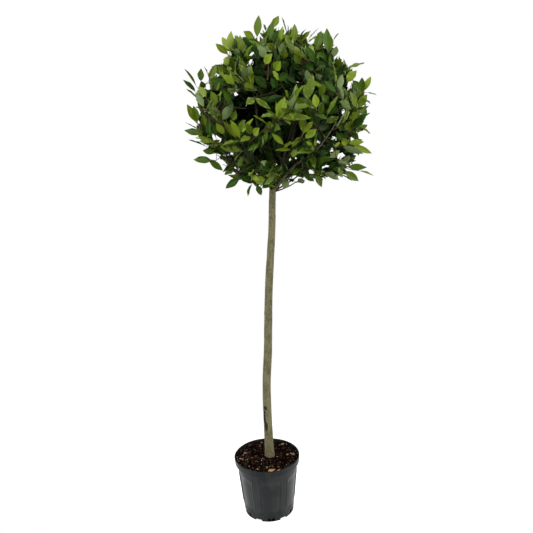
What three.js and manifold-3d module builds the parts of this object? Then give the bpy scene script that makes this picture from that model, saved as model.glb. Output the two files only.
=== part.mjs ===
// Standard bay tree: a clipped round head on a bare trunk, growing in a round black nursery pot.
// Units are millimetres, +Z is up, and the origin is the middle of the pot's flat underside.

import * as THREE from 'three';
import { mergeVertices } from 'three/addons/utils/BufferGeometryUtils.js';
import Module from 'manifold-3d';

const wasm = await Module();
wasm.setup();

// Driving dimensions: clearances
const TOUCHING_GAP = 0.3;
const LIMB_CLEARANCE = 1.5;
const CELL_CLEARANCE = 0.8;
const WELD = 0.001;
const SAME_PLACE = 0.01;

// Driving dimensions: pot
const POT_HEIGHT = 200;
const RIM_RADIUS = 110;
const LIP_HEIGHT = 22;
const LIP_SLANT = 1.5;
const LIP_THICKNESS = 3.5;
const NECK_STEP = 2;
const WALL_TOP_RADIUS = 101;
const BASE_RADIUS = 83;
const BASE_CHAMFER = 2.5;
const WALL_THICKNESS = 3;
const FLOOR_THICKNESS = 9;
const POT_SEGMENTS = 48;
const PANELS = 6;
const PANEL_HALF_ANGLE = 15;
const PANEL_SLOPE_ANGLE = 7.5;
const PANEL_DEPTH = 2.2;
const PANEL_BOTTOM = 24;
const PANEL_TOP = 158;
const PANEL_TOP_ROUNDING = 16;
const PANEL_EDGE = 3;
const NOTCH_HALF_ANGLE = 8;
const NOTCH_HEIGHT = 6;
const NOTCH_REACH = 16;
const SLOT_WIDTH = 6;
const SLOT_LOW = 6.5;
const SLOT_HIGH = 15.5;
const SLOT_REACH = 9;
const SLOT_ANGLE = 4.8;
const CUTTER_OVERSHOOT = 10;

// Driving dimensions: compost
const COMPOST_BELOW_RIM = 12;
const COMPOST_SEGMENTS = 24;
const COMPOST_RINGS = 3;
const COMPOST_EDGE_GAP = 1;
const COMPOST_EDGE_DROP = 3;
const COMPOST_SHOULDER = 5;
const COMPOST_BUMP = 2.6;
const COMPOST_BUMP_LENGTHS = [11, 13, 19];
const COMPOST_BUMP_SHIFTS = [1.3, 0.6];
const COMPOST_BUMPS_GROW_OVER = 20;
const TRUNK_SEAT_RADIUS = 24;

// Driving dimensions: trunk, with its leaning middle line as [height, distance to the right]
const TRUNK_LINE = [[188, 10], [330, 8], [455, 10], [600, 21], [775, 30.5], [930, 45], [1126, 58]];
const TRUNK_TOP_RADIUS = 9.8;
const TRUNK_EXTRA_RADIUS = 4.3;
const TRUNK_TAPER_POWER = 1.6;
const ROOT_FLARE = 4.2;
const ROOT_FLARE_HEIGHT = 20;
const TRUNK_SIDES = 12;
const TRUNK_FLARE_RINGS = [0, 6, 14, 26, 44];
const TRUNK_RING_STEP = 70;
const TRUNK_DOME_RINGS = 2;
const TRUNK_DOME_FLATNESS = 0.7;
const TRUNK_DOME_OPEN_STEPS = 0.6;
const TRUNK_HALVINGS = 30;

// Driving dimensions: boughs
const BOUGH_SIDES = 5;
const BOUGH_STEPS = 4;
const BOUGH_TIP_RADIUS = 2.9;
const BOUGH_SHARE = 0.7;
const BOUGH_BOW = 0.2;
const BOUGH_BOW_AT = 0.45;

// Driving dimensions: crown, and the masses of foliage it is made of. Azimuth is anticlockwise from
// +X, elevation is above the level, and reach is how far the furthest leaf tips lie from the middle.
const CROWN_MIDDLE = new THREE.Vector3(87, 0, 1337);
const CROWN_FOOT = 1076;
const MASSES = [
  { name: 'top', azimuth: 90, elevation: 84, reach: 260, forkAt: 1126, boughRadius: 6.2 },
  { name: 'upper_right_front', azimuth: -44, elevation: 38, reach: 268, forkAt: 1113, boughRadius: 4.8 },
  { name: 'upper_right_back', azimuth: 46, elevation: 26, reach: 270, forkAt: 1108, boughRadius: 4.8 },
  { name: 'upper_left_front', azimuth: -136, elevation: 36, reach: 256, forkAt: 1109, boughRadius: 4.8 },
  { name: 'upper_left_back', azimuth: 134, elevation: 26, reach: 258, forkAt: 1112, boughRadius: 4.8 },
  { name: 'lower_right', azimuth: 4, elevation: -14, reach: 304, forkAt: 1096, boughRadius: 5 },
  { name: 'lower_front', azimuth: -78, elevation: -18, reach: 285, forkAt: 1093, boughRadius: 4.6 },
  { name: 'lower_left_front', azimuth: -148, elevation: -20, reach: 306, forkAt: 1096, boughRadius: 4.8 },
  { name: 'lower_left_back', azimuth: 140, elevation: -28, reach: 303, forkAt: 1093, boughRadius: 4.8 },
  { name: 'lower_back', azimuth: 70, elevation: -30, reach: 285, forkAt: 1094, boughRadius: 4.6 },
  { name: 'skirt_right', azimuth: -20, elevation: -52, reach: 350, forkAt: 1085, boughRadius: 3.8 },
];
const HEART_SHARE = 0.57;
const REACH_SHARPNESS = 9;

// Driving dimensions: leafy pad at the heart of each mass
const PAD_RADIUS = 78;
const PAD_HALF_THICKNESS = 13;
const PAD_DETAIL = 1;
const PAD_UNEVENNESS = 0.3;
const PAD_WALL_SHARE = 0.9;
const PAD_SHRINK = 0.05;
const PAD_SMALLEST = 0.2;

// Driving dimensions: twigs and leaves
const SHOOTS = 96;
const SHOOT_RADIUS = 2.8;
const SHOOT_TIP_RADIUS = 1.5;
const SHOOT_STEPS = 2;
const TIP_SETBACK = 62;
const TIP_SCATTER = 26;
const TIP_PULL = 7;
const STEM_SIDES = 5;
const STEM_STEPS = 2;
const STEM_BEND_AT = 0.5;
const TWIG_SIDES = 3;
const SHOOT_BEND_AT = 0.5;
const SHOOT_SAG = 0.08;
const JOINT_AT = 0.45;
const LEAFY_LENGTH = 95;
const BARE_SHARE = 0.25;
const LEAVES_PER_SHOOT = 5;
const SHOOT_TURN = 137.5;
const LEAF_WAYS = 9;
const LEAF_SHARES = [1, 0.85, 0.7];
const TIP_LEAF_AT = 0.98;
const BLADE_MIDDLE_AT = 0.55;
const LEAF_SPREAD = 74;
const LEAF_TIP_SPREAD = 26;
const LEAF_SPREAD_POWER = 0.6;
const NEARLY_UPRIGHT = 0.9;
const LEAF_FACES_OUT = 1.8;
const LEAF_LENGTH = 98;
const LEAF_LENGTH_SCATTER = 14;
const LEAF_WIDTH_SHARE = 0.44;
const LEAF_THICKNESS = 2.2;
const STALK_SHARE = 0.05;
const LEAF_WIDEST_AT = 0.5;
const LEAF_FOLD = 3;
const LEAF_DROOP = 5;
const LEAF_ROOT = 0.2;
const SEED = 29;

const UP = new THREE.Vector3(0, 0, 1);
const SIDEWAYS = new THREE.Vector3(1, 0, 0);
const radians = THREE.MathUtils.degToRad;

// Small helpers

function seededRandom(seed) {
  let state = seed >>> 0;
  return () => {
    state = (state + 0x6d2b79f5) >>> 0;
    let mixed = Math.imul(state ^ (state >>> 15), 1 | state);
    mixed = (mixed + Math.imul(mixed ^ (mixed >>> 7), 61 | mixed)) ^ mixed;
    return ((mixed ^ (mixed >>> 14)) >>> 0) / 4294967296;
  };
}

function direction(azimuth, elevation) {
  const level = Math.cos(radians(elevation));
  return new THREE.Vector3(
    level * Math.cos(radians(azimuth)),
    level * Math.sin(radians(azimuth)),
    Math.sin(radians(elevation)),
  );
}

function along(start, way, distance) {
  return start.clone().addScaledVector(way, distance);
}

// Manifold solids from closed three.js meshes, and back

// The same mesh with one corner for each place
function merged(geometry) {
  const bare = new THREE.BufferGeometry();
  bare.setAttribute('position', geometry.getAttribute('position').clone());
  if (geometry.index) bare.setIndex(geometry.index.clone());
  return mergeVertices(bare, WELD);
}

function solidOf(geometry) {
  const mesh = merged(geometry);
  const corners = Array.from(mesh.index.array);
  const triVerts = [];
  for (let i = 0; i < corners.length; i += 3) {
    const [a, b, c] = corners.slice(i, i + 3);
    if (a !== b && b !== c && c !== a) triVerts.push(a, b, c);
  }
  return new wasm.Manifold(new wasm.Mesh({
    numProp: 3,
    vertProperties: new Float32Array(mesh.getAttribute('position').array),
    triVerts: new Uint32Array(triVerts),
  }));
}

function meets(one, other) {
  return one.intersect(other).getMesh().triVerts.length > 0;
}

function geometryOf(solid) {
  const mesh = solid.getMesh();
  const positions = [];
  for (let i = 0; i < mesh.vertProperties.length; i += mesh.numProp) {
    positions.push(...mesh.vertProperties.subarray(i, i + 3));
  }
  return indexed(positions, Array.from(mesh.triVerts));
}

function indexed(positions, triangles) {
  const geometry = new THREE.BufferGeometry();
  geometry.setAttribute('position', new THREE.Float32BufferAttribute(positions, 3));
  geometry.setIndex(triangles);
  return geometry;
}

// The triangles of a mesh by shell, with corners closer than the weld made one and flat scraps dropped
function weldedShells(geometry) {
  const points = geometry.getAttribute('position');
  const corners = new Map();
  const positions = [];
  const rounded = (value) => Math.round(value / WELD) * WELD;
  const cornerOf = Array.from({ length: points.count }, (_, i) => {
    const place = [points.getX(i), points.getY(i), points.getZ(i)].map(rounded);
    const key = place.map((value) => value.toFixed(4)).join(' ');
    if (!corners.has(key)) {
      corners.set(key, positions.length / 3);
      positions.push(...place);
    }
    return corners.get(key);
  });
  const parent = Array.from({ length: positions.length / 3 }, (_, i) => i);
  const rootOf = (i) => {
    while (parent[i] !== i) i = parent[i];
    return i;
  };
  const triangles = [];
  for (let i = 0; i < geometry.index.count; i += 3) {
    const [a, b, c] = [0, 1, 2].map((k) => cornerOf[geometry.index.getX(i + k)]);
    if (a === b || b === c || c === a) continue;
    triangles.push([a, b, c]);
    parent[rootOf(a)] = rootOf(b);
    parent[rootOf(b)] = rootOf(c);
  }
  const shells = new Map();
  for (const triangle of triangles) {
    const root = rootOf(triangle[0]);
    if (!shells.has(root)) shells.set(root, []);
    shells.get(root).push(triangle);
  }
  return { positions, shells: [...shells.values()] };
}

function shellVolume(positions, triangles) {
  const corner = (i) => new THREE.Vector3().fromArray(positions, 3 * i);
  return triangles.reduce((sum, [a, b, c]) => sum + corner(a).dot(corner(b).cross(corner(c))) / 6, 0);
}

// Keeps the outer shell of a joined solid: a loose scrap is dropped and a sealed hollow is filled.
function outerShell(geometry) {
  const { positions, shells } = weldedShells(geometry);
  const volumes = shells.map((shell) => shellVolume(positions, shell));
  const largest = shells[volumes.indexOf(Math.max(...volumes))];
  const used = [...new Set(largest.flat())];
  const place = new Map(used.map((corner, i) => [corner, i]));
  const kept = used.flatMap((corner) => positions.slice(3 * corner, 3 * corner + 3));
  return indexed(kept, largest.flat().map((corner) => place.get(corner)));
}

// True when every edge of the welded mesh has one triangle on each side
function weldsClosed(geometry) {
  const { shells } = weldedShells(geometry);
  const edges = new Set();
  for (const [a, b, c] of shells.flat()) {
    for (const edge of [`${a} ${b}`, `${b} ${c}`, `${c} ${a}`]) {
      if (edges.has(edge)) return false;
      edges.add(edge);
    }
  }
  return [...edges].every((edge) => edges.has(edge.split(' ').reverse().join(' ')));
}

// A closed tube through rings of points, with a flat or pointed end at each side
function tubeOf(rings) {
  const sides = rings[0].length;
  const positions = [];
  const triangles = [];
  for (const ring of rings) for (const point of ring) positions.push(...point.toArray());
  for (let r = 0; r + 1 < rings.length; r += 1) {
    for (let s = 0; s < sides; s += 1) {
      const a = r * sides + s;
      const b = r * sides + ((s + 1) % sides);
      triangles.push(a, b, a + sides, b, b + sides, a + sides);
    }
  }
  const last = (rings.length - 1) * sides;
  for (let s = 1; s + 1 < sides; s += 1) {
    triangles.push(0, s + 1, s);
    triangles.push(last, last + s, last + s + 1);
  }
  return indexed(positions, triangles);
}

// A tapering limb along a curve, with its rings square to the curve
function limbAlong(curve, radiusAt, steps, sides) {
  const frames = curve.computeFrenetFrames(steps, false);
  const rings = [];
  for (let i = 0; i <= steps; i += 1) {
    const middle = curve.getPointAt(i / steps);
    const radius = radiusAt(i / steps);
    const ring = [];
    for (let s = 0; s < sides; s += 1) {
      const turn = (2 * Math.PI * s) / sides;
      const point = middle.clone();
      point.addScaledVector(frames.normals[i], radius * Math.cos(turn));
      point.addScaledVector(frames.binormals[i], radius * Math.sin(turn));
      ring.push(point);
    }
    rings.push(ring);
  }
  return tubeOf(rings);
}

// Pot

// Angle from the middle of the nearest panel
function panelOffset(angle) {
  const pitch = 360 / PANELS;
  return Math.abs(THREE.MathUtils.euclideanModulo(angle + pitch / 2, pitch) - pitch / 2);
}

function panelShare(angle) {
  const beyond = (panelOffset(angle) - PANEL_HALF_ANGLE) / PANEL_SLOPE_ANGLE;
  return 1 - THREE.MathUtils.clamp(beyond, 0, 1);
}

function wallRadius(height) {
  const share = height / (POT_HEIGHT - LIP_HEIGHT);
  return THREE.MathUtils.lerp(BASE_RADIUS, WALL_TOP_RADIUS, share);
}

// A panel's top is arched: it is highest in the middle of the panel.
function panelTop(offset) {
  return PANEL_TOP - PANEL_TOP_ROUNDING * (offset / PANEL_HALF_ANGLE) ** 2;
}

function panelDepth(angle, height) {
  const inside = height > PANEL_BOTTOM && height < panelTop(panelOffset(angle));
  return inside ? PANEL_DEPTH * panelShare(angle) : 0;
}

// The heights of the wall's rows: the panels' lower edge, a row just inside the arch at each step
// of the angle, and a row above them all
function wallRows() {
  const step = 360 / POT_SEGMENTS;
  const arch = [2 * step, step, 0].map((offset) => panelTop(offset) - PANEL_EDGE);
  return [PANEL_BOTTOM, PANEL_BOTTOM + PANEL_EDGE, ...arch, PANEL_TOP + PANEL_EDGE];
}

// The pot's section as pairs of radius and height, from the middle of the underside round to the floor
function potProfile() {
  const lipBottom = POT_HEIGHT - LIP_HEIGHT;
  return [
    [0, 0],
    [BASE_RADIUS - BASE_CHAMFER, 0],
    [wallRadius(BASE_CHAMFER), BASE_CHAMFER],
    ...wallRows().map((height) => [wallRadius(height), height]),
    [WALL_TOP_RADIUS, lipBottom],
    [RIM_RADIUS - LIP_SLANT, lipBottom],
    [RIM_RADIUS, POT_HEIGHT],
    [RIM_RADIUS - LIP_THICKNESS, POT_HEIGHT],
    [RIM_RADIUS - LIP_SLANT - LIP_THICKNESS, lipBottom + NECK_STEP],
    [WALL_TOP_RADIUS - WALL_THICKNESS, lipBottom - NECK_STEP],
    [wallRadius(FLOOR_THICKNESS) - WALL_THICKNESS, FLOOR_THICKNESS],
    [0, FLOOR_THICKNESS],
  ];
}

function revolved(profile, segments) {
  const points = profile.map(([radius, height]) => new THREE.Vector2(radius, height));
  const geometry = new THREE.LatheGeometry(points, segments);
  geometry.rotateX(Math.PI / 2);
  return geometry;
}

function pressPanels(geometry) {
  const points = geometry.getAttribute('position');
  for (let i = 0; i < points.count; i += 1) {
    const [x, y, z] = [points.getX(i), points.getY(i), points.getZ(i)];
    const radius = Math.hypot(x, y);
    if (Math.abs(radius - wallRadius(z)) > SAME_PLACE) continue;
    const angle = THREE.MathUtils.radToDeg(Math.atan2(x, -y));
    const share = (radius - panelDepth(angle, z)) / radius;
    points.setXY(i, x * share, y * share);
  }
}

// A box that cuts inwards from the pot's wall, centred at an angle from the front
function wallCutter(angle, width, reach, low, high) {
  const depth = reach + CUTTER_OVERSHOOT;
  const box = new THREE.BoxGeometry(width, depth, high - low);
  box.translate(0, depth / 2 - BASE_RADIUS - CUTTER_OVERSHOOT, (low + high) / 2);
  box.rotateZ(radians(angle));
  return solidOf(box);
}

function makePot() {
  const shell = revolved(potProfile(), POT_SEGMENTS);
  pressPanels(shell);
  let pot = solidOf(shell);
  const notchWidth = 2 * BASE_RADIUS * Math.tan(radians(NOTCH_HALF_ANGLE));
  for (let i = 0; i < PANELS; i += 1) {
    const panel = (360 / PANELS) * i;
    const notch = panel + 180 / PANELS;
    pot = pot.subtract(wallCutter(notch, notchWidth, NOTCH_REACH, -NOTCH_HEIGHT, NOTCH_HEIGHT));
    for (const side of [-SLOT_ANGLE, SLOT_ANGLE]) {
      pot = pot.subtract(wallCutter(panel + side, SLOT_WIDTH, SLOT_REACH, SLOT_LOW, SLOT_HIGH));
    }
  }
  return outerShell(geometryOf(pot));
}

// Compost that fills the pot, with an uneven top and a level seat under the trunk

function compostProfile(top) {
  const low = FLOOR_THICKNESS + TOUCHING_GAP;
  const neck = POT_HEIGHT - LIP_HEIGHT - NECK_STEP;
  const innerBase = wallRadius(FLOOR_THICKNESS) - WALL_THICKNESS;
  const edge = WALL_TOP_RADIUS - WALL_THICKNESS - COMPOST_EDGE_GAP;
  const profile = [
    [0, low],
    [innerBase - TOUCHING_GAP, low],
    [edge, neck],
    [edge + COMPOST_EDGE_GAP, top - COMPOST_EDGE_DROP],
  ];
  for (let i = 0; i < COMPOST_RINGS; i += 1) {
    const share = i / (COMPOST_RINGS - 1);
    profile.push([THREE.MathUtils.lerp(edge - COMPOST_SHOULDER, TRUNK_SEAT_RADIUS, share), top]);
  }
  return [...profile, [0, top]];
}

function compostRise(x, y, seatX) {
  const [across, deep, slanting] = COMPOST_BUMP_LENGTHS;
  const [first, second] = COMPOST_BUMP_SHIFTS;
  const waves = Math.sin(x / across + first) * Math.cos(y / deep) + Math.sin((x + y) / slanting + second);
  const away = Math.hypot(x - seatX, y) - TRUNK_SEAT_RADIUS;
  return COMPOST_BUMP * waves * THREE.MathUtils.clamp(away / COMPOST_BUMPS_GROW_OVER, 0, 1);
}

function makeCompost() {
  const top = POT_HEIGHT - COMPOST_BELOW_RIM;
  const geometry = revolved(compostProfile(top), COMPOST_SEGMENTS);
  const points = geometry.getAttribute('position');
  const [seatX] = trunkMiddle(top);
  for (let i = 0; i < points.count; i += 1) {
    const [x, y, z] = [points.getX(i), points.getY(i), points.getZ(i)];
    if (Math.abs(z - top) < SAME_PLACE) points.setZ(i, z + compostRise(x, y, seatX));
  }
  return outerShell(geometryOf(solidOf(geometry)));
}

// Trunk

const trunkCurve = new THREE.CatmullRomCurve3(
  TRUNK_LINE.map(([height, right]) => new THREE.Vector3(right, 0, height)),
);
const TRUNK_FOOT = POT_HEIGHT - COMPOST_BELOW_RIM + TOUCHING_GAP;
const TRUNK_TIP = TRUNK_LINE[TRUNK_LINE.length - 1][0];

// The place of the trunk's middle line at a height, found by halving the curve's range
function trunkMiddle(height) {
  let low = 0;
  let high = 1;
  for (let i = 0; i < TRUNK_HALVINGS; i += 1) {
    const middle = (low + high) / 2;
    if (trunkCurve.getPoint(middle).z < height) low = middle;
    else high = middle;
  }
  const point = trunkCurve.getPoint(low);
  return [point.x, point.y];
}

function trunkRadius(height) {
  const share = (height - TRUNK_FOOT) / (TRUNK_TIP - TRUNK_FOOT);
  const taper = TRUNK_EXTRA_RADIUS * (1 - share ** TRUNK_TAPER_POWER);
  const flare = ROOT_FLARE * Math.exp(-(height - TRUNK_FOOT) / ROOT_FLARE_HEIGHT);
  return TRUNK_TOP_RADIUS + taper + flare;
}

function trunkHeights() {
  const flareHeights = TRUNK_FLARE_RINGS.map((rise) => TRUNK_FOOT + rise);
  const first = flareHeights[flareHeights.length - 1];
  const steps = Math.round((TRUNK_TIP - first) / TRUNK_RING_STEP);
  const rest = Array.from({ length: steps }, (_, i) => first + ((TRUNK_TIP - first) * (i + 1)) / steps);
  return [...flareHeights, ...rest];
}

function trunkGeometry(grown) {
  const rings = [];
  const addRing = (height, middleHeight, radius) => {
    const [x, y] = trunkMiddle(middleHeight);
    const ring = [];
    for (let s = 0; s < TRUNK_SIDES; s += 1) {
      const turn = (2 * Math.PI * s) / TRUNK_SIDES;
      ring.push(new THREE.Vector3(x + radius * Math.cos(turn), y + radius * Math.sin(turn), height));
    }
    rings.push(ring);
  };
  for (const height of trunkHeights()) addRing(height, height, trunkRadius(height) + grown);
  const tipRadius = trunkRadius(TRUNK_TIP) + grown;
  for (let i = 1; i <= TRUNK_DOME_RINGS; i += 1) {
    const turn = (Math.PI / 2) * (i / (TRUNK_DOME_RINGS + TRUNK_DOME_OPEN_STEPS));
    const rise = tipRadius * TRUNK_DOME_FLATNESS * Math.sin(turn);
    addRing(TRUNK_TIP + rise, TRUNK_TIP, tipRadius * Math.cos(turn));
  }
  return tubeOf(rings);
}

// Crown: each mass of foliage keeps to the space nearest its own heart

function settleMass(mass) {
  const way = direction(mass.azimuth, mass.elevation);
  const heart = along(CROWN_MIDDLE, way, HEART_SHARE * mass.reach);
  const [x, y] = trunkMiddle(mass.forkAt);
  const start = new THREE.Vector3(x, y, mass.forkAt);
  const end = start.clone().lerp(heart, BOUGH_SHARE);
  const bow = new THREE.Vector3(way.x, way.y, 0).multiplyScalar(end.distanceTo(start) * BOUGH_BOW);
  const middle = start.clone().lerp(end, BOUGH_BOW_AT).add(bow);
  return { ...mass, way, heart, bough: new THREE.QuadraticBezierCurve3(start, middle, end) };
}

const masses = MASSES.map(settleMass);

function reachTowards(way) {
  let total = 0;
  let weights = 0;
  for (const mass of masses) {
    const weight = Math.exp(REACH_SHARPNESS * (way.dot(mass.way) - 1));
    total += weight * mass.reach;
    weights += weight;
  }
  const toFoot = way.z < 0 ? (CROWN_FOOT - CROWN_MIDDLE.z) / way.z : Infinity;
  return Math.min(total / weights, toFoot);
}

// Distance from a point to the nearest side of a mass's space, negative outside it
function roomAround(mass, point) {
  let room = Infinity;
  for (const other of masses) {
    if (other === mass) continue;
    const across = new THREE.Vector3().subVectors(other.heart, mass.heart);
    const middle = new THREE.Vector3().addVectors(other.heart, mass.heart).multiplyScalar(0.5);
    room = Math.min(room, middle.sub(point).dot(across.normalize()));
  }
  return room;
}

function massNearest(point) {
  const distances = masses.map((mass) => mass.heart.distanceTo(point));
  return masses[distances.indexOf(Math.min(...distances))];
}

// Boughs

function boughSolid(mass, grown) {
  const radiusAt = (share) => THREE.MathUtils.lerp(mass.boughRadius, BOUGH_TIP_RADIUS, share) + grown;
  return solidOf(limbAlong(mass.bough, radiusAt, BOUGH_STEPS, BOUGH_SIDES));
}

// The thickest bough leaves the trunk whole, and each later one stops short of those before it.
function makeBoughs() {
  const boughs = new Map();
  let taken = solidOf(trunkGeometry(TOUCHING_GAP));
  for (const mass of [...masses].sort((a, b) => b.boughRadius - a.boughRadius)) {
    boughs.set(mass, outerShell(geometryOf(boughSolid(mass, 0).subtract(taken))));
    taken = taken.add(boughSolid(mass, TOUCHING_GAP));
  }
  return boughs;
}

// The trunk and every bough, with the room that twigs and leaves leave round them
function roomForLimbs() {
  const trunk = solidOf(trunkGeometry(LIMB_CLEARANCE));
  return masses.reduce((room, mass) => room.add(boughSolid(mass, LIMB_CLEARANCE)), trunk);
}

// Foliage

// A thin pad across the mass that its leaves stand out of, facing between its bough and the outside
function padSolid(mass, random) {
  const ball = merged(new THREE.IcosahedronGeometry(1, PAD_DETAIL));
  const points = ball.getAttribute('position');
  const facing = mass.bough.getTangentAt(1).add(mass.way).normalize();
  const turn = new THREE.Quaternion().setFromUnitVectors(UP, facing);
  for (let i = 0; i < points.count; i += 1) {
    const way = new THREE.Vector3().fromBufferAttribute(points, i).normalize();
    const flat = new THREE.Vector3(way.x * PAD_RADIUS, way.y * PAD_RADIUS, way.z * PAD_HALF_THICKNESS);
    const offset = flat.applyQuaternion(turn);
    const roomAt = (share) => roomAround(mass, along(mass.heart, offset, share / PAD_WALL_SHARE));
    let share = 1 - PAD_UNEVENNESS * random();
    while (share > PAD_SMALLEST && roomAt(share) < CELL_CLEARANCE) share -= PAD_SHRINK;
    const point = along(mass.heart, offset, share);
    points.setXYZ(i, point.x, point.y, point.z);
  }
  return solidOf(ball);
}

// The stem leaves the bough's end square to it and runs to the heart of the mass.
function stemSolid(mass) {
  const way = mass.bough.getTangentAt(1);
  const start = along(mass.bough.v2, way, TOUCHING_GAP);
  const bend = along(start, way, STEM_BEND_AT * start.distanceTo(mass.heart));
  const curve = new THREE.QuadraticBezierCurve3(start, bend, mass.heart);
  return solidOf(limbAlong(curve, () => BOUGH_TIP_RADIUS, STEM_STEPS, STEM_SIDES));
}

// An eight-faced leaf: a root, a tip, two edges and a raised and a sunk middle
function leafPoints(root, way, face, length) {
  const side = new THREE.Vector3().crossVectors(way, face).normalize();
  const middle = along(root, way, LEAF_WIDEST_AT * length);
  const halfWidth = (LEAF_WIDTH_SHARE * length) / 2;
  return {
    root: along(root, way, -LEAF_ROOT),
    tip: along(along(root, way, length), face, -LEAF_DROOP),
    left: along(along(middle, side, -halfWidth), face, LEAF_FOLD),
    right: along(along(middle, side, halfWidth), face, LEAF_FOLD),
    over: along(middle, face, LEAF_THICKNESS / 2),
    under: along(middle, face, -LEAF_THICKNESS / 2),
  };
}

function leafSolid({ root, tip, left, right, over, under }) {
  const positions = [root, tip, left, right, over, under].flatMap((point) => point.toArray());
  const triangles = [0, 3, 4, 3, 1, 4, 1, 2, 4, 2, 0, 4, 3, 0, 5, 1, 3, 5, 2, 1, 5, 0, 2, 5];
  return solidOf(indexed(positions, triangles));
}

function twigSolid(curve, startRadius) {
  const radiusAt = (share) => THREE.MathUtils.lerp(startRadius, SHOOT_TIP_RADIUS, share);
  return solidOf(limbAlong(curve, radiusAt, SHOOT_STEPS, TWIG_SIDES));
}

// Every shoot tip lies on a spiral that covers the crown evenly
function planShoots(random) {
  return Array.from({ length: SHOOTS }, (_, i) => {
    const height = 1 - (2 * (i + 0.5)) / SHOOTS;
    const way = direction(i * SHOOT_TURN, THREE.MathUtils.radToDeg(Math.asin(height)));
    const reach = reachTowards(way) - TIP_SCATTER * random() ** 2;
    const tip = along(CROWN_MIDDLE, way, reach - TIP_SETBACK);
    const mass = massNearest(tip);
    tip.addScaledVector(mass.heart.clone().sub(tip).normalize(), TIP_PULL);
    return { way, reach, tip, mass };
  });
}

// Each shoot springs from the nearest joint of those already grown, the first ones from the stem's end
function growShoots(mass, shoots, limbs) {
  const joints = [{ point: mass.heart, radius: SHOOT_RADIUS }];
  const grown = [];
  const fromHeart = (shoot) => shoot.tip.distanceTo(mass.heart);
  for (const shoot of [...shoots].sort((a, b) => fromHeart(a) - fromHeart(b))) {
    const distances = joints.map((joint) => joint.point.distanceTo(shoot.tip));
    const joint = joints[distances.indexOf(Math.min(...distances))];
    const sag = SHOOT_SAG * joint.point.distanceTo(shoot.tip);
    const bend = joint.point.clone().lerp(shoot.tip, SHOOT_BEND_AT).addScaledVector(shoot.way, -sag);
    const points = [joint.point, bend, shoot.tip];
    if (points.some((point) => roomAround(mass, point) < CELL_CLEARANCE + SHOOT_RADIUS)) continue;
    const curve = new THREE.CatmullRomCurve3(points);
    if (meets(twigSolid(curve, joint.radius), limbs)) continue;
    const middleRadius = THREE.MathUtils.lerp(joint.radius, SHOOT_TIP_RADIUS, JOINT_AT);
    joints.push({ point: curve.getPointAt(JOINT_AT), radius: middleRadius });
    grown.push({ ...shoot, curve, radius: joint.radius });
  }
  return grown;
}

// A leaf that leaves its shoot at an angle and turns its upper face up and outwards
function leafAlong(shoot, place, spread, turn, length) {
  const way = shoot.curve.getTangentAt(place);
  const level = Math.abs(way.z) > NEARLY_UPRIGHT ? SIDEWAYS : UP;
  const across = new THREE.Vector3().crossVectors(way, level).normalize();
  across.applyAxisAngle(way, radians(turn));
  const leafWay = way.clone().multiplyScalar(Math.cos(radians(spread)));
  leafWay.addScaledVector(across, Math.sin(radians(spread))).normalize();
  const face = UP.clone().addScaledVector(shoot.way, LEAF_FACES_OUT);
  face.addScaledVector(leafWay, -face.dot(leafWay)).normalize();
  return leafPoints(shoot.curve.getPointAt(place), leafWay, face, length);
}

function inReach(mass, reach, leaf) {
  const inSpace = Object.values(leaf).every((corner) => roomAround(mass, corner) > CELL_CLEARANCE);
  return inSpace && leaf.tip.distanceTo(CROWN_MIDDLE) < reach && leaf.tip.z > CROWN_FOOT;
}

// The leaf without the foot of its stalk, which may cross nothing that has grown so far
function bladeOf(leaf) {
  return leafSolid({ ...leaf, root: leaf.root.clone().lerp(leaf.tip, STALK_SHARE) });
}

// The ways a leaf could point from its place on a shoot, with those that lead to the emptiest air first
function leafChoices(shoot, inwards, firstTurn, length, others) {
  const bare = Math.max(BARE_SHARE, 1 - LEAFY_LENGTH / shoot.curve.getLength());
  const place = THREE.MathUtils.lerp(TIP_LEAF_AT, bare, inwards);
  const spread = THREE.MathUtils.lerp(LEAF_TIP_SPREAD, LEAF_SPREAD, inwards ** LEAF_SPREAD_POWER);
  const choices = [];
  for (const share of LEAF_SHARES) {
    for (let i = 0; i < LEAF_WAYS; i += 1) {
      const leaf = leafAlong(shoot, place, spread, firstTurn + (360 * i) / LEAF_WAYS, length * share);
      const middle = leaf.root.clone().lerp(leaf.tip, BLADE_MIDDLE_AT);
      const open = Math.min(...others.map((other) => other.distanceTo(middle)), LEAF_LENGTH);
      choices.push({ leaf, middle, score: open * share });
    }
  }
  return choices.sort((p, q) => q.score - p.score);
}

function makeMass(mass, shoots, blades, limbs, random) {
  const grown = growShoots(mass, shoots, limbs);
  let solid = padSolid(mass, random).subtract(limbs).add(stemSolid(mass));
  for (const shoot of grown) solid = solid.add(twigSolid(shoot.curve, shoot.radius));
  for (let i = 0; i < LEAVES_PER_SHOOT; i += 1) {
    for (const shoot of grown) {
      const length = LEAF_LENGTH + LEAF_LENGTH_SCATTER * (2 * random() - 1);
      const choices = leafChoices(shoot, i / (LEAVES_PER_SHOOT - 1), 360 * random(), length, blades);
      for (const { leaf, middle } of choices) {
        if (!inReach(mass, shoot.reach, leaf)) continue;
        if (meets(bladeOf(leaf), solid) || meets(leafSolid(leaf), limbs)) continue;
        const joined = solid.add(leafSolid(leaf));
        if (!weldsClosed(geometryOf(joined))) continue;
        solid = joined;
        blades.push(middle);
        break;
      }
    }
  }
  return outerShell(geometryOf(solid));
}

// Materials

function finish(color, roughness) {
  return new THREE.MeshStandardMaterial({ color, roughness, metalness: 0 });
}

function namedMesh(name, geometry, material) {
  const mesh = new THREE.Mesh(geometry, material);
  mesh.name = name;
  return mesh;
}

// The whole plant

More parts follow.
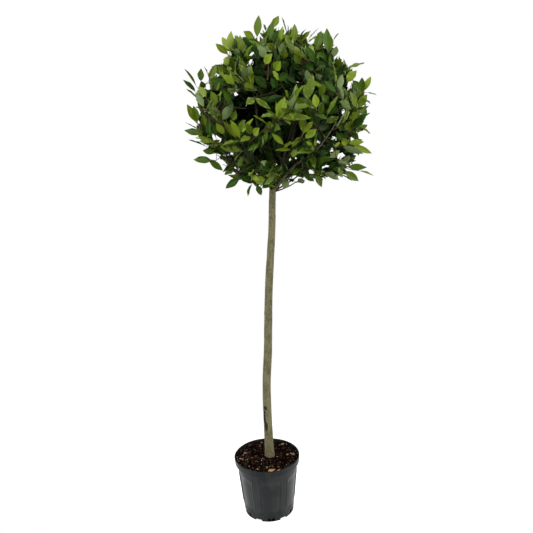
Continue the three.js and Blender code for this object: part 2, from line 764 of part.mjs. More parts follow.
function makeTree() {
  const tree = new THREE.Group();
  const bark = finish(0x7b755a, 0.75);
  tree.add(namedMesh('pot', makePot(), finish(0x2c3131, 0.42)));
  tree.add(namedMesh('compost', makeCompost(), finish(0x2a211c, 0.95)));
  tree.add(namedMesh('trunk', outerShell(trunkGeometry(0)), bark));
  const boughs = makeBoughs();
  const limbs = roomForLimbs();
  const random = seededRandom(SEED);
  const shoots = planShoots(random);
  const blades = [];
  const leafGreen = finish(0x4f7230, 0.5);
  for (const mass of masses) {
    const own = shoots.filter((shoot) => shoot.mass === mass);
    const foliage = makeMass(mass, own, blades, limbs, random);
    tree.add(namedMesh(`bough_${mass.name}`, boughs.get(mass), bark));
    tree.add(namedMesh(`foliage_${mass.name}`, foliage, leafGreen));
  }
  return tree;
}

export default makeTree();
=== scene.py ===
"""Looks of a standard bay tree in a nursery pot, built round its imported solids.

The pot, the compost, the trunk and the boughs are remade with their finer relief. Each mass of foliage is
grown again by the rule of its solid, carried on to finer twigs and to the real number of leaves.
All lengths are metres in the row frame: +X to the right, +Y away from the viewer, +Z up the trunk.
"""

import itertools
import logging
import math
from collections.abc import Iterator
from dataclasses import dataclass, replace
from enum import Enum, IntEnum

import bpy
import numpy as np
from mathutils import Matrix, Vector

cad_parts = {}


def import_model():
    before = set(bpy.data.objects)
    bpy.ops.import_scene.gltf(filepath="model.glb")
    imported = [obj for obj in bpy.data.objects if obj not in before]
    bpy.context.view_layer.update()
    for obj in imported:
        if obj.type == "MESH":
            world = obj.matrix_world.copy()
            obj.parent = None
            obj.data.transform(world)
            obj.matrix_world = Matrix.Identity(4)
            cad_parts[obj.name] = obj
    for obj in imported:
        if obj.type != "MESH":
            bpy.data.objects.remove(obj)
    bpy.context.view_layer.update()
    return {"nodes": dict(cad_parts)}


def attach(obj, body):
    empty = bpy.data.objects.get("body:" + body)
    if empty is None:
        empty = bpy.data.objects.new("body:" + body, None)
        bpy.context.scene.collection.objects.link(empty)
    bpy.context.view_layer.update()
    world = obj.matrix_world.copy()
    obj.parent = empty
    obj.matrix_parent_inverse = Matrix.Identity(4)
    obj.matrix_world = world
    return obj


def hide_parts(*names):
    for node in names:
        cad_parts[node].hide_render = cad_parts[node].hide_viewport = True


logger = logging.getLogger("bay_tree")

Colour = tuple[float, float, float]
Place = tuple[float, float, float]
Pixel = tuple[float, float]
Span = tuple[float, float]
Array = np.ndarray
Material = bpy.types.Material
Piece = bpy.types.Object

ROOT_BODY = "root"
FULL_TURN = 2 * math.pi
GOLDEN_TURN = math.radians(137.5)
UP = np.array((0.0, 0.0, 1.0))
ACROSS = np.array((1.0, 0.0, 0.0))
STEEP = 0.9
NO_CORNER = -1
CELL_PRIMES = (73856093, 19349663, 83492791)
SEED_PRIME = 40503
CELL_MIXER = 1274126177
LOW_BITS = 0xFFFF
BALL_EDGE = 1.1


def unit(vectors: Array) -> Array:
    """Returns vectors scaled to a length of 1."""
    vectors = np.asarray(vectors, float)
    return vectors / np.maximum(np.linalg.norm(vectors, axis=-1, keepdims=True), 1e-12)


def across_to(vectors: Array, axes: Array) -> Array:
    """Returns the unit part of each vector that is square to its axis."""
    return unit(vectors - np.sum(vectors * axes, -1, keepdims=True) * axes)


def level_for(way: Array) -> Array:
    """Returns an axis that is well off a direction: up, or across where the direction is steep."""
    return UP if abs(way[2]) < STEEP else ACROSS


def direction(azimuth: float, elevation: float) -> Array:
    """Returns the unit vector at an azimuth from +X and an elevation, both in degrees."""
    turn, rise = math.radians(azimuth), math.radians(elevation)
    return np.array((math.cos(turn) * math.cos(rise), math.sin(turn) * math.cos(rise), math.sin(rise)))


def smooth_step(values: Array, low: float, high: float) -> Array:
    """Returns 0 below low, 1 above high and a smooth rise between."""
    share = np.clip((np.asarray(values, float) - low) / (high - low), 0, 1)
    return share * share * (3 - 2 * share)


def lattice(cells: Array, seed: int) -> Array:
    """Gives each cell of a lattice a number from 0 to 1, always the same for the same cell and seed.

    Args:
        cells: Whole numbers of the cells along the three axes, in the last axis of the array.
        seed: Chooses the pattern.

    Returns:
        One number for each cell.
    """
    mixed = cells[..., 0] * CELL_PRIMES[0] ^ cells[..., 1] * CELL_PRIMES[1] ^ cells[..., 2] * CELL_PRIMES[2]
    mixed = mixed ^ seed * SEED_PRIME
    mixed = (mixed ^ (mixed >> 13)) * CELL_MIXER
    return ((mixed ^ (mixed >> 16)) & LOW_BITS) / LOW_BITS


def soft_noise(points: Array, wave: Place, seed: int) -> Array:
    """Returns smooth noise from -1 to 1.

    Args:
        points: Places, as an array of n by 3.
        wave: Length of one wave along each axis.
        seed: Chooses the pattern.

    Returns:
        One number for each point.
    """
    scaled = np.asarray(points, float) / wave
    cell = np.floor(scaled).astype(np.int64)
    share = scaled - cell
    share = share * share * (3 - 2 * share)
    total = np.zeros(scaled.shape[:-1])
    for corner in itertools.product((0, 1), repeat=3):
        weight = np.prod(np.where(corner, share, 1 - share), axis=-1)
        total += weight * lattice(cell + corner, seed)
    return 2 * total - 1


@dataclass(frozen=True)
class Relief:
    """One layer of soft relief: its depth, the length of its waves along each axis and its seed."""

    depth: float
    wave: Place
    seed: int


def relief_at(points: Array, layers: tuple[Relief, ...]) -> Array:
    """Returns the height that layers of relief add up to at each point."""
    return sum(layer.depth * soft_noise(points, layer.wave, layer.seed) for layer in layers)


def bezier(start: Array, bend: Array, end: Array, count: int) -> Array:
    """Returns count points along a curve from start to end that bend pulls to itself."""
    share = np.linspace(0, 1, count)[:, None]
    return (1 - share) ** 2 * start + 2 * share * (1 - share) * bend + share**2 * end


def tangents(path: Array) -> Array:
    """Returns the unit direction of a path at each of its points."""
    return unit(np.gradient(path, axis=0))


def circle(radius: float | Array, turn: Array, height: float | Array) -> Array:
    """Returns the points of a level ring round the axis of the pot, one for each turn."""
    x, y = radius * np.cos(turn), radius * np.sin(turn)
    return np.stack([x, y, np.broadcast_to(height, x.shape)], -1)


def grid_faces(rows: int, columns: int, closed: bool = False) -> Array:
    """Lays four-cornered faces between the points of a grid.

    Args:
        rows: Number of rows of points.
        columns: Number of points in a row.
        closed: Whether the last column joins the first.

    Returns:
        The faces, as four point numbers each.
    """
    span = columns if closed else columns - 1
    row, column = np.meshgrid(np.arange(rows - 1), np.arange(span), indexing="ij")
    here, beside = row * columns + column, row * columns + (column + 1) % columns
    corners = (here, beside, beside + columns, here + columns)
    return np.stack([corner.ravel() for corner in corners], 1)


def tube(path: Array, radii: Array, sides: int) -> tuple[Array, Array]:
    """Lays a closed tube along a path.

    Args:
        path: Middle of each ring.
        radii: Radius of each ring, or of each point of each ring.
        sides: Number of points in a ring.

    Returns:
        The points, and the faces as four point numbers each.
    """
    ways = tangents(path)
    right = [across_to(level_for(ways[0]), ways[0])]
    for way in ways[1:]:
        right.append(across_to(right[-1], way))
    right = np.array(right)
    other = np.cross(ways, right)
    turn = np.linspace(0, FULL_TURN, sides, endpoint=False)
    radii = np.broadcast_to(np.asarray(radii, float).reshape(len(path), -1), (len(path), sides))
    rings = right[:, None] * np.cos(turn)[None, :, None] + other[:, None] * np.sin(turn)[None, :, None]
    points = (path[:, None] + rings * radii[..., None]).reshape(-1, 3)
    side = np.arange(sides)
    beside = (side + 1) % sides
    last = (len(path) - 1) * sides
    foot_cap = (beside, side, np.full(sides, len(points)))
    tip_cap = (last + side, last + beside, np.full(sides, len(points) + 1))
    faces = [grid_faces(len(path), sides, closed=True)]
    faces += [np.stack([*cap, np.full(sides, NO_CORNER)], 1) for cap in (foot_cap, tip_cap)]
    return np.concatenate([points, path[[0, -1]]]), np.concatenate(faces)


def ball() -> tuple[Array, Array]:
    """Makes a twenty-faced ball of radius 1.

    Returns:
        Its points, and its faces as point numbers that end in NO_CORNER.
    """
    g = (1 + math.sqrt(5)) / 2
    points = [(-1, g, 0), (1, g, 0), (-1, -g, 0), (1, -g, 0), (0, -1, g), (0, 1, g), (0, -1, -g), (0, 1, -g)]
    points += [(g, 0, -1), (g, 0, 1), (-g, 0, -1), (-g, 0, 1)]
    points = unit(np.array(points))
    near = np.linalg.norm(points[:, None] - points[None], axis=-1) < BALL_EDGE
    faces = []
    for a, b, c in itertools.combinations(range(len(points)), 3):
        if near[a, b] and near[b, c] and near[a, c]:
            outward = np.dot(np.cross(points[b] - points[a], points[c] - points[a]), points[a]) > 0
            faces.append((a, b, c, NO_CORNER) if outward else (a, c, b, NO_CORNER))
    return points, np.array(faces)


def turned(rng: np.random.Generator) -> Array:
    """Returns a random turn as a 3 by 3 array."""
    axis = Vector(unit(rng.normal(size=3)))
    return np.array(Matrix.Rotation(rng.uniform(0, FULL_TURN), 3, axis))


class MeshStock:
    """Gathers the faces of many shapes into one mesh."""

    def __init__(self) -> None:
        """Starts with nothing in stock."""
        self._points: list[Array] = []
        self._faces: list[Array] = []
        self._marks: list[Array] = []
        self._count = 0

    def add(self, points: Array, faces: Array, mark: int | Array = 0) -> None:
        """Adds a shape.

        Args:
            points: Its points, n by 3.
            faces: Its faces, m by 4, with NO_CORNER as the last corner of a triangle.
            mark: Number of the material of every face, or of each.
        """
        self._faces.append(np.where(faces == NO_CORNER, NO_CORNER, faces + self._count))
        self._points.append(points)
        self._marks.append(np.broadcast_to(mark, len(faces)).astype(np.int32))
        self._count += len(points)

    def build(self, name: str, materials: list[Material], sharp_from: float) -> Piece:
        """Makes the object.

        Args:
            name: Name of the object and its mesh.
            materials: Materials, in the order of the marks.
            sharp_from: Angle in degrees from which an edge is sharp.

        Returns:
            The object, linked to the scene.
        """
        faces = np.concatenate(self._faces)
        corners = faces[faces != NO_CORNER]
        counts = (faces != NO_CORNER).sum(1)
        mesh = bpy.data.meshes.new(name)
        mesh.vertices.add(self._count)
        mesh.vertices.foreach_set("co", np.concatenate(self._points).astype(np.float32).ravel())
        mesh.loops.add(len(corners))
        mesh.loops.foreach_set("vertex_index", corners.astype(np.int32))
        mesh.polygons.add(len(faces))
        mesh.polygons.foreach_set("loop_start", (np.cumsum(counts) - counts).astype(np.int32))
        for material in materials:
            mesh.materials.append(material)
        mesh.polygons.foreach_set("material_index", np.concatenate(self._marks))
        mesh.update(calc_edges=True)
        mesh.validate()
        mesh.shade_smooth()
        mesh.set_sharp_from_angle(angle=math.radians(sharp_from))
        piece = bpy.data.objects.new(name, mesh)
        bpy.context.scene.collection.objects.link(piece)
        return piece


# Shading


@dataclass(frozen=True)
class Signal:
    """A shader socket that can be added, taken away and multiplied."""

    tree: bpy.types.NodeTree
    socket: bpy.types.NodeSocket

    def _math(self, operation: str, one: object, other: object) -> "Signal":
        """Adds a node of maths.

        Args:
            operation: What it does.
            one: First signal or number.
            other: Second signal or number.

        Returns:
            The result.
        """
        node = self.tree.nodes.new("ShaderNodeMath")
        node.operation = operation
        for place, value in zip(node.inputs, (one, other)):
            if isinstance(value, Signal):
                self.tree.links.new(value.socket, place)
            else:
                place.default_value = value
        return Signal(self.tree, node.outputs[0])

    def __add__(self, other: object) -> "Signal":
        """Returns the sum."""
        return self._math("ADD", self, other)

    def __radd__(self, other: object) -> "Signal":
        """Returns the sum with a number in front."""
        return self._math("ADD", other, self)

    def __sub__(self, other: object) -> "Signal":
        """Returns the difference."""
        return self._math("SUBTRACT", self, other)

    def __rsub__(self, other: object) -> "Signal":
        """Returns the difference from a number in front."""
        return self._math("SUBTRACT", other, self)

    def __mul__(self, other: object) -> "Signal":
        """Returns the product."""
        return self._math("MULTIPLY", self, other)

    def __rmul__(self, other: object) -> "Signal":
        """Returns the product with a number in front."""
        return self._math("MULTIPLY", other, self)


@dataclass(frozen=True)
class Output:
    """A node of a material and its outputs."""

    tree: bpy.types.NodeTree
    node: bpy.types.Node

    def signal(self, name: str | int) -> Signal:
        """Returns one output as a signal."""
        return Signal(self.tree, self.node.outputs[name])


SOCKET_NAMES = {"specular": "Specular IOR Level"}
MIX_COLOURS = (6, 7)
MIX_RESULT = 2
EVEN: Place = (1, 1, 1)


class Bench:
    """Builds one material node by node."""

    def __init__(self, name: str) -> None:
        """Starts a material with its shader and its object coordinates.

        Args:
            name: Name of the material.
        """
        self.material = bpy.data.materials.new(name)
        self.material.use_nodes = True
        self._tree = self.material.node_tree
        self._shader = self._tree.nodes["Principled BSDF"]
        self._places = self.node("ShaderNodeTexCoord", {}, {}).signal("Object")

    def node(self, kind: str, settings: dict[str, object], inputs: dict[str | int, object]) -> Output:
        """Adds a node.

        Args:
            kind: Type of the node.
            settings: Attributes of the node, set before its inputs.
            inputs: Values or signals for its input sockets.

        Returns:
            The node with its outputs.
        """
        node = self._tree.nodes.new(kind)
        for name, value in settings.items():
            setattr(node, name, value)
        for name, value in inputs.items():
            self._feed(node.inputs[name], value)
        return Output(self._tree, node)

    def _feed(self, place: bpy.types.NodeSocket, value: object) -> None:
        """Links a signal to a socket, or sets the socket's own value.

        Args:
            place: The input socket.
            value: A signal, a number, a vector or a colour.
        """
        if isinstance(value, Signal):
            self._tree.links.new(value.socket, place)
        elif isinstance(value, tuple) and len(value) == 3 and place.type == "RGBA":
            place.default_value = (*value, 1.0)
        else:
            place.default_value = value

    def _vector_math(self, operation: str, *values: object) -> Output:
        """Adds a node of vector maths on these values."""
        return self.node("ShaderNodeVectorMath", {"operation": operation}, dict(enumerate(values)))

    def _stretched(self, stretch: Place, shift: float) -> Signal:
        """Returns object coordinates scaled by stretch and moved by shift."""
        inputs = {"Vector": self._places, "Scale": stretch, "Location": (shift, shift, shift)}
        return self.node("ShaderNodeMapping", {}, inputs).signal("Vector")

    def noise(self, scale: float, detail: float = 3, stretch: Place = EVEN, shift: float = 0.0) -> Signal:
        """Returns noise from 0 to 1 with scale waves to the metre."""
        inputs = {"Vector": self._stretched(stretch, shift), "Scale": scale, "Detail": detail}
        return self.node("ShaderNodeTexNoise", {}, inputs).signal(0)

    def ramp(self, value: Signal, low: float, high: float) -> Signal:
        """Returns a smooth rise from 0 where value is low to 1 where it is high."""
        inputs = {"Value": value, "From Min": low, "From Max": high}
        return self.node("ShaderNodeMapRange", {"interpolation_type": "SMOOTHSTEP"}, inputs).signal(0)

    def near(self, centre: Place, radii: Place) -> Signal:
        """Returns the distance from a centre in units of radii along the axes.

        Args:
            centre: Where the distance is 0.
            radii: How far along each axis it is 1.

        Returns:
            The distance.
        """
        away = self._vector_math("SUBTRACT", self._places, centre).signal(0)
        scaled = self._vector_math("MULTIPLY", away, tuple(1 / radius for radius in radii)).signal(0)
        return self._vector_math("LENGTH", scaled).signal("Value")

    def height(self) -> Signal:
        """Returns the height in metres."""
        return self.node("ShaderNodeSeparateXYZ", {}, {0: self._places}).signal("Z")

    def blend(self, share: Signal | float, one: object, other: object) -> Signal:
        """Returns a colour between one and other."""
        inputs = {0: share, MIX_COLOURS[0]: one, MIX_COLOURS[1]: other}
        return self.node("ShaderNodeMix", {"data_type": "RGBA"}, inputs).signal(MIX_RESULT)

    def bump(self, height: Signal, depth: float) -> Signal:
        """Returns normals that a height from 0 to 1 bends, depth metres deep."""
        return self.node("ShaderNodeBump", {}, {"Height": height, "Distance": depth}).signal("Normal")

    def finish(self, colour: object, **sockets: object) -> Material:
        """Sets the surface.

        Args:
            colour: Base colour or the signal that drives it.
            **sockets: Further sockets, with underscores for spaces.

        Returns:
            The finished material.
        """
        self._feed(self._shader.inputs["Base Color"], colour)
        for name, value in sockets.items():
            self._feed(self._shader.inputs[SOCKET_NAMES.get(name, name.replace("_", " ").title())], value)
        return self.material


@dataclass(frozen=True)
class PlainFinish:
    """A surface of one colour."""

    name: str
    colour: Colour
    roughness: float
    specular: float = 0.25

    def material(self) -> Material:
        """Returns the material."""
        return Bench(self.name).finish(self.colour, roughness=self.roughness, specular=self.specular)


@dataclass(frozen=True)
class PlasticFinish:
    """Dusty dark moulded plastic, with painted shade that darkens it towards the foot of the pot."""

    body: Colour = (0.0085, 0.0115, 0.0112)
    worn: Colour = (0.018, 0.022, 0.021)
    dust: Colour = (0.08, 0.075, 0.065)
    # foot: colour of the painted shade that darkens the pot towards its foot
    foot: Colour = (0.003, 0.004, 0.004)
    foot_shade_share: float = 0.7
    dust_share: float = 0.22
    roughness: float = 0.3
    cloud_roughness: float = 0.12
    grime_roughness: float = 0.18
    specular: float = 0.13
    grain_depth: float = 0.00012

    def material(self) -> Material:
        """Makes the material out of streaks, clouds of wear, grime and painted shade at the foot.

        Returns:
            The material.
        """
        bench = Bench("pot_plastic")
        streaks = bench.noise(scale=60, detail=4, stretch=(1, 1, 0.12))
        clouds = bench.noise(scale=17, detail=5, shift=3.1)
        grime = bench.ramp(bench.noise(scale=45, detail=6, shift=7.7), low=0.56, high=0.78)
        # painted shade: the plastic darkens towards the foot, where the pot meets the floor
        foot_shade = 1 - bench.ramp(bench.height(), low=0.004, high=0.045)
        colour = bench.blend(bench.ramp(clouds + streaks * 0.5, low=0.62, high=0.95), self.body, self.worn)
        colour = bench.blend(grime * self.dust_share * clouds, colour, self.dust)
        colour = bench.blend(foot_shade * self.foot_shade_share, colour, self.foot)
        rough = self.roughness + bench.ramp(clouds, low=0.35, high=0.7) * self.cloud_roughness
        rough = rough + grime * self.grime_roughness
        normal = bench.bump(bench.noise(scale=900, detail=3), self.grain_depth)
        return bench.finish(colour, roughness=rough, specular=self.specular, normal=normal)


@dataclass(frozen=True)
class Stain:
    """A dark stain on the bark: its middle and its half axes."""

    middle: Place
    half: Place


TRUNK_STAINS = (
    Stain((0.0012, -0.014, 0.375), (0.006, 0.014, 0.0072)),
    Stain((-0.0015, -0.014, 0.36), (0.0032, 0.014, 0.005)),
    Stain((-0.0028, -0.012, 0.337), (0.0038, 0.014, 0.019)),
    Stain((0.002, -0.014, 0.309), (0.0052, 0.014, 0.017)),
)


@dataclass(frozen=True)
class BarkFinish:
    """Smooth bark of a young stem, with pale flecks, dark pits and stains."""

    name: str
    light: Colour
    dark: Colour
    fleck: Colour
    stains: tuple[Stain, ...] = ()
    stain: Colour = (0.008, 0.006, 0.004)
    fleck_share: float = 0.5
    pit_share: float = 0.5
    stain_share: float = 0.94
    raggedness: float = 1.1
    roughness: float = 0.75
    specular: float = 0.22
    grain_depth: float = 0.0003

    def material(self) -> Material:
        """Makes the material out of grain and patches, flecks, pits and ragged stains.

        Returns:
            The material.
        """
        bench = Bench(self.name)
        grain = bench.noise(scale=300, detail=4, stretch=(1, 1, 0.5))
        patches = bench.noise(scale=55, detail=4, stretch=(1, 1, 0.45), shift=2.3)
        specks = bench.noise(scale=210, detail=2, stretch=(1, 1, 1.3), shift=5.9)
        holes = bench.noise(scale=230, detail=3, stretch=(1, 1, 0.8), shift=8.2)
        flecks, pits = bench.ramp(specks, low=0.6, high=0.7), bench.ramp(holes, low=0.58, high=0.7)
        tone = bench.ramp(patches * 0.45 + grain * 0.55, low=0.4, high=0.58)
        colour = bench.blend(tone, self.dark, self.light)
        colour = bench.blend(flecks * self.fleck_share, colour, self.fleck)
        colour = bench.blend(pits * self.pit_share, colour, self.dark)
        ragged = (grain - 0.5) * self.raggedness
        for stain in self.stains:
            stained = 1 - bench.ramp(bench.near(stain.middle, stain.half) + ragged, low=0.9, high=1.2)
            colour = bench.blend(stained * self.stain_share, colour, self.stain)
        normal = bench.bump(grain, self.grain_depth)
        return bench.finish(colour, roughness=self.roughness, specular=self.specular, normal=normal)


@dataclass(frozen=True)
class EarthFinish:
    """Dark crumbly compost."""

    dark: Colour = (0.0015, 0.001, 0.0008)
    light: Colour = (0.022, 0.0115, 0.008)
    speck: Colour = (0.2, 0.16, 0.13)
    speck_share: float = 0.5
    roughness: float = 0.95
    crumb_depth: float = 0.002

    def material(self) -> Material:
        """Makes the material out of crumbs and pale specks.

        Returns:
            The material.
        """
        bench = Bench("compost_earth")
        crumbs = bench.noise(scale=520, detail=5)
        specks = bench.ramp(bench.noise(scale=420, detail=2, shift=4.4), low=0.66, high=0.72)
        colour = bench.blend(bench.ramp(crumbs, low=0.48, high=0.7), self.dark, self.light)
        colour = bench.blend(specks * self.speck_share, colour, self.speck)
        normal = bench.bump(crumbs, self.crumb_depth)
        return bench.finish(colour, roughness=self.roughness, specular=0.0, normal=normal)


# The picture


@dataclass(frozen=True)
class Viewpoint:
    """The pinhole that the picture is seen through."""

    place: Place = (0.0267, -1.839, 1.271)
    pitch: float = math.radians(12.85)
    roll: float = math.radians(2.56)
    focal: float = 600.0
    side: float = 533.0
    sensor: float = 36.0

    def picture(self, points: Array) -> Array:
        """Finds where points are seen.

        Args:
            points: Places, in the last axis of the array.

        Returns:
            The pixels, across and down, in the last axis.
        """
        offset = np.asarray(points, float) - self.place
        forward = offset[..., 1] * math.cos(self.pitch) - offset[..., 2] * math.sin(self.pitch)
        rise = offset[..., 1] * math.sin(self.pitch) + offset[..., 2] * math.cos(self.pitch)
        across, up = self.focal * offset[..., 0] / forward, self.focal * rise / forward
        c, s = math.cos(self.roll), math.sin(self.roll)
        return np.stack([self.side / 2 + c * across - s * up, self.side / 2 - s * across - c * up], -1)

    def on_plane(self, pixel: Pixel, depth: float) -> Array:
        """Finds the place that is seen at a pixel on an upright plane.

        Args:
            pixel: The pixel, across and down.
            depth: The Y of the plane.

        Returns:
            The place.
        """
        right, up = pixel[0] - self.side / 2, self.side / 2 - pixel[1]
        c, s = math.cos(self.roll), math.sin(self.roll)
        across, rise = (c * right + s * up) / self.focal, (c * up - s * right) / self.focal
        forward = math.cos(self.pitch) + rise * math.sin(self.pitch)
        upward = rise * math.cos(self.pitch) - math.sin(self.pitch)
        way = np.array((across, forward, upward))
        return self.place + way * (depth - self.place[1]) / way[1]

    def matrix(self) -> Matrix:
        """Returns the place and turn of the camera."""
        turn = Matrix.Rotation(math.pi / 2 - self.pitch, 4, "X") @ Matrix.Rotation(-self.roll, 4, "Z")
        return Matrix.Translation(Vector(self.place)) @ turn


# The pot and its compost


@dataclass
class NurseryPot:
    """The moulded pot, with soft edges, pressed panels, foot notches and drain slots; angles in degrees."""

    height: float = 0.2
    rim_radius: float = 0.11
    wall_top: float = 0.101
    base_radius: float = 0.083
    wall: float = 0.003
    floor: float = 0.009
    columns: int = 360
    axis_radius: float = 0.001

    lip_height: float = 0.022
    lip_slant: float = 0.0015
    lip_thickness: float = 0.0035
    lip_neck: tuple[Span, ...] = ((0.0, -0.0004), (0.0008, 0.0))
    lip_fillet: tuple[Span, ...] = ((-0.0012, 0.0001), (-0.0003, 0.0004), (0.0001, 0.0012))
    lip_inner_rise: float = 0.004
    neck_drop: float = 0.002
    lip_shares: tuple[float, ...] = (0.15, 0.4, 0.65, 0.85)
    bead_turns: tuple[float, float, int] = (-10, 190, 11)

    chamfer: float = 0.0025
    chamfer_shares: tuple[float, ...] = (0.0, 0.35, 0.7, 1.0)
    chamfer_rise: float = 0.2
    sole_rise: float = 0.002
    sole_slope: float = 0.006
    sole_edge: float = 0.0006
    notch_lean: float = 0.0004

    panels: int = 6
    turned: float = 3.8
    panel_half: float = 20.4
    panel_slope: float = 2.0
    panel_depth: float = 0.0022
    panel_bottom: float = 0.024
    panel_bottom_slope: Span = (-0.001, 0.012)
    panel_top: float = 0.156
    panel_top_slope: Span = (-0.02, 0.003)
    panel_arch: float = 0.006

    rib_at: float = 23.0
    rib_half: float = 1.5
    rib_height: float = 0.0016
    rib_bottom: Span = (0.03, 0.05)
    rib_top: Span = (0.148, 0.158)

    notch_half: float = 8.0
    notch_height: float = 0.006
    notch_reach: float = 0.016
    slot_angle: float = 5.0
    slot_half: float = 2.8
    slot_low: float = 0.006
    slot_high: float = 0.018
    slot_depth: float = 0.008
    slot_edge: float = 0.0002
    slot_radius: float = 0.07

    slot_middle: float = 0.011
    above_slot: float = 0.0195
    panel_rows: Span = (0.0135, 0.0014)
    body_rows: tuple[float, float, int] = (0.039, 0.126, 12)
    arch_rows: tuple[float, float, float] = (0.128, 0.1625, 0.0021)
    last_row: float = 0.167
    under_lip: float = 0.0015

    wobble: Relief = Relief(0.0005, (0.06, 0.06, 0.05), 11)
    wobble_radius: float = 0.1
    wobble_from: Span = (0.01, 0.03)
    sharp_from: float = 42

    def __post_init__(self) -> None:
        """Works out the angle of every column of points and how far it is from the middle of its panel."""
        self._angle = np.linspace(0, 360, self.columns, endpoint=False)
        pitch = 360 / self.panels
        self._offset = np.abs((self._angle - self.turned + pitch / 2) % pitch - pitch / 2)

    def _wall_radius(self, height: float) -> float:
        """Returns the radius of the plain wall at a height."""
        rise = self.height - self.lip_height
        return self.base_radius + (self.wall_top - self.base_radius) * height / rise

    def _panel(self, height: float) -> Array:
        """Finds how deep the panels and their ribs are at a height.

        Args:
            height: Height of a row of points.

        Returns:
            The depth at every column, below 0 where a rib stands out.
        """
        top = self.panel_top - self.panel_arch * (self._offset / self.panel_half) ** 2
        beyond = (self._offset - self.panel_half) / self.panel_slope
        share = 1 - smooth_step(beyond, 0, 1)
        low, high = self.panel_bottom_slope
        share = share * smooth_step(height, self.panel_bottom + low, self.panel_bottom + high)
        rib = 1 - smooth_step(np.abs(self._offset - self.rib_at), 0, self.rib_half)
        rib = rib * smooth_step(height, *self.rib_bottom) * (1 - smooth_step(height, *self.rib_top))
        pressed = self.panel_depth * share * (1 - smooth_step(height - top, *self.panel_top_slope))
        return pressed - self.rib_height * rib

    def _slot(self, height: float) -> Array:
        """Returns how deep the drain slots are at a height, for every column."""
        inside = np.abs(self._offset - self.slot_angle) < self.slot_half
        return self.slot_depth * (inside & (self.slot_low < height < self.slot_high))

    def _wall_heights(self) -> list[float]:
        """Lists the heights of the rows of points on the wall.

        Returns:
            The heights, lowest first and closer where the relief is finer.
        """
        around_low = [self.slot_low - self.slot_edge, self.slot_low + self.slot_edge]
        around_high = [self.slot_high - self.slot_edge, self.slot_high + self.slot_edge]
        low, (span, step) = self.panel_bottom + self.panel_bottom_slope[0], self.panel_rows
        panel_foot = np.arange(low, self.panel_bottom + span, step)
        foot = [*around_low, self.slot_middle, *around_high, self.above_slot, *panel_foot]
        body, arch = np.linspace(*self.body_rows), np.arange(*self.arch_rows)
        return [*foot, *body, *arch, self.last_row, self.height - self.lip_height - self.under_lip]

    def _ring(self, radius: float | Array, height: float | Array) -> tuple[Array, Array]:
        """Returns the radius and the height of every point of a row."""
        ones = np.ones(self.columns)
        return radius * ones, height * ones

    def _lip_rings(self) -> list[tuple[Array, Array]]:
        """Lists the rows of the lip, out, up, over its bead and down inside to the floor.

        Returns:
            The radius and height of every point of each row.
        """
        lip = self.height - self.lip_height
        outer = self.rim_radius - self.lip_slant
        rings = [self._ring(self.wall_top + out, lip + up) for out, up in self.lip_neck]
        rings += [self._ring(outer + out, lip + up) for out, up in self.lip_fillet]
        for share in self.lip_shares:
            rings.append(self._ring(outer + self.lip_slant * share, lip + self.lip_height * share))
        middle, bead = self.rim_radius - self.lip_thickness / 2, self.lip_thickness / 2
        for turn in np.radians(np.linspace(*self.bead_turns)):
            height = self.height - bead + bead * math.sin(turn)
            rings.append(self._ring(middle + bead * math.cos(turn), height))
        rings += [self._ring(outer - self.lip_thickness, lip + self.lip_inner_rise)]
        rings += [self._ring(self.wall_top - self.wall, lip - self.neck_drop)]
        rings += [self._ring(self._wall_radius(self.floor) - self.wall, self.floor)]
        return [*rings, self._ring(self.axis_radius, self.floor)]

    def _rings(self) -> list[tuple[Array, Array]]:
        """Lists every row of the pot, from the middle of its underside round to the middle of its floor.

        Returns:
            The radius and height of every point of each row.
        """
        sole = np.where(self._offset > 180 / self.panels - self.notch_half, self.notch_height, 0.0)
        inner = self.base_radius - self.notch_reach
        rings = [self._ring(self.axis_radius, self.sole_rise)]
        rings += [self._ring(inner - self.sole_slope, self.sole_rise)]
        rings += [self._ring(inner, 0.0), self._ring(inner + self.notch_lean, sole)]
        for share in self.chamfer_shares:
            turn = share * math.pi / 2
            radius = self.base_radius - self.chamfer * (1 - math.sin(turn))
            rings.append(self._ring(radius, sole + self.chamfer * (1 - math.cos(turn)) * self.chamfer_rise))
        for height in self._wall_heights():
            radius = self._wall_radius(height) - self._panel(height) - self._slot(height)
            rings.append(self._ring(radius, np.maximum(height, sole + self.sole_edge)))
        return rings + self._lip_rings()

    def build(self) -> Piece:
        """Makes the pot.

        Returns:
            The pot, with a dark lining in its drain slots.
        """
        turn = np.radians(self._angle)
        rings = self._rings()
        radius = np.array([ring[0] for ring in rings])
        height = np.array([ring[1] for ring in rings])
        points = np.stack([radius * np.sin(turn), -radius * np.cos(turn), height], -1).reshape(-1, 3)
        wobble = relief_at(points, (self.wobble,)) * smooth_step(points[:, 2], *self.wobble_from)
        points[:, :2] *= 1 + wobble[:, None] / self.wobble_radius
        faces = grid_faces(len(rings), self.columns, closed=True)
        sunk = np.array([self._slot(float(ring[1].mean())) > 0 for ring in rings])
        in_slot = sunk.ravel()[faces].any(axis=1)
        first = faces[:, 0]
        outside = (radius.ravel()[first] > self.slot_radius) & (height.ravel()[first] < self.panel_bottom)
        stock = MeshStock()
        stock.add(points, faces, (in_slot & outside).astype(int))
        # painted shadow: near-black faces inside the drain slots stand in for their shade
        painted_slot_shadow = PlainFinish("slot_shadow", (0.002, 0.002, 0.002), 1.0, 0.0)
        piece = stock.build("nursery_pot", [PlasticFinish().material(), painted_slot_shadow.material()], self.sharp_from)
        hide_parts("pot")
        return piece


class Ground(IntEnum):
    """What the compost is made of, each with its own finish."""

    EARTH = 0
    DARK_CHIP = 1
    TAN_CHIP = 2
    ORANGE_CHIP = 3
    PALE_GRIT = 4


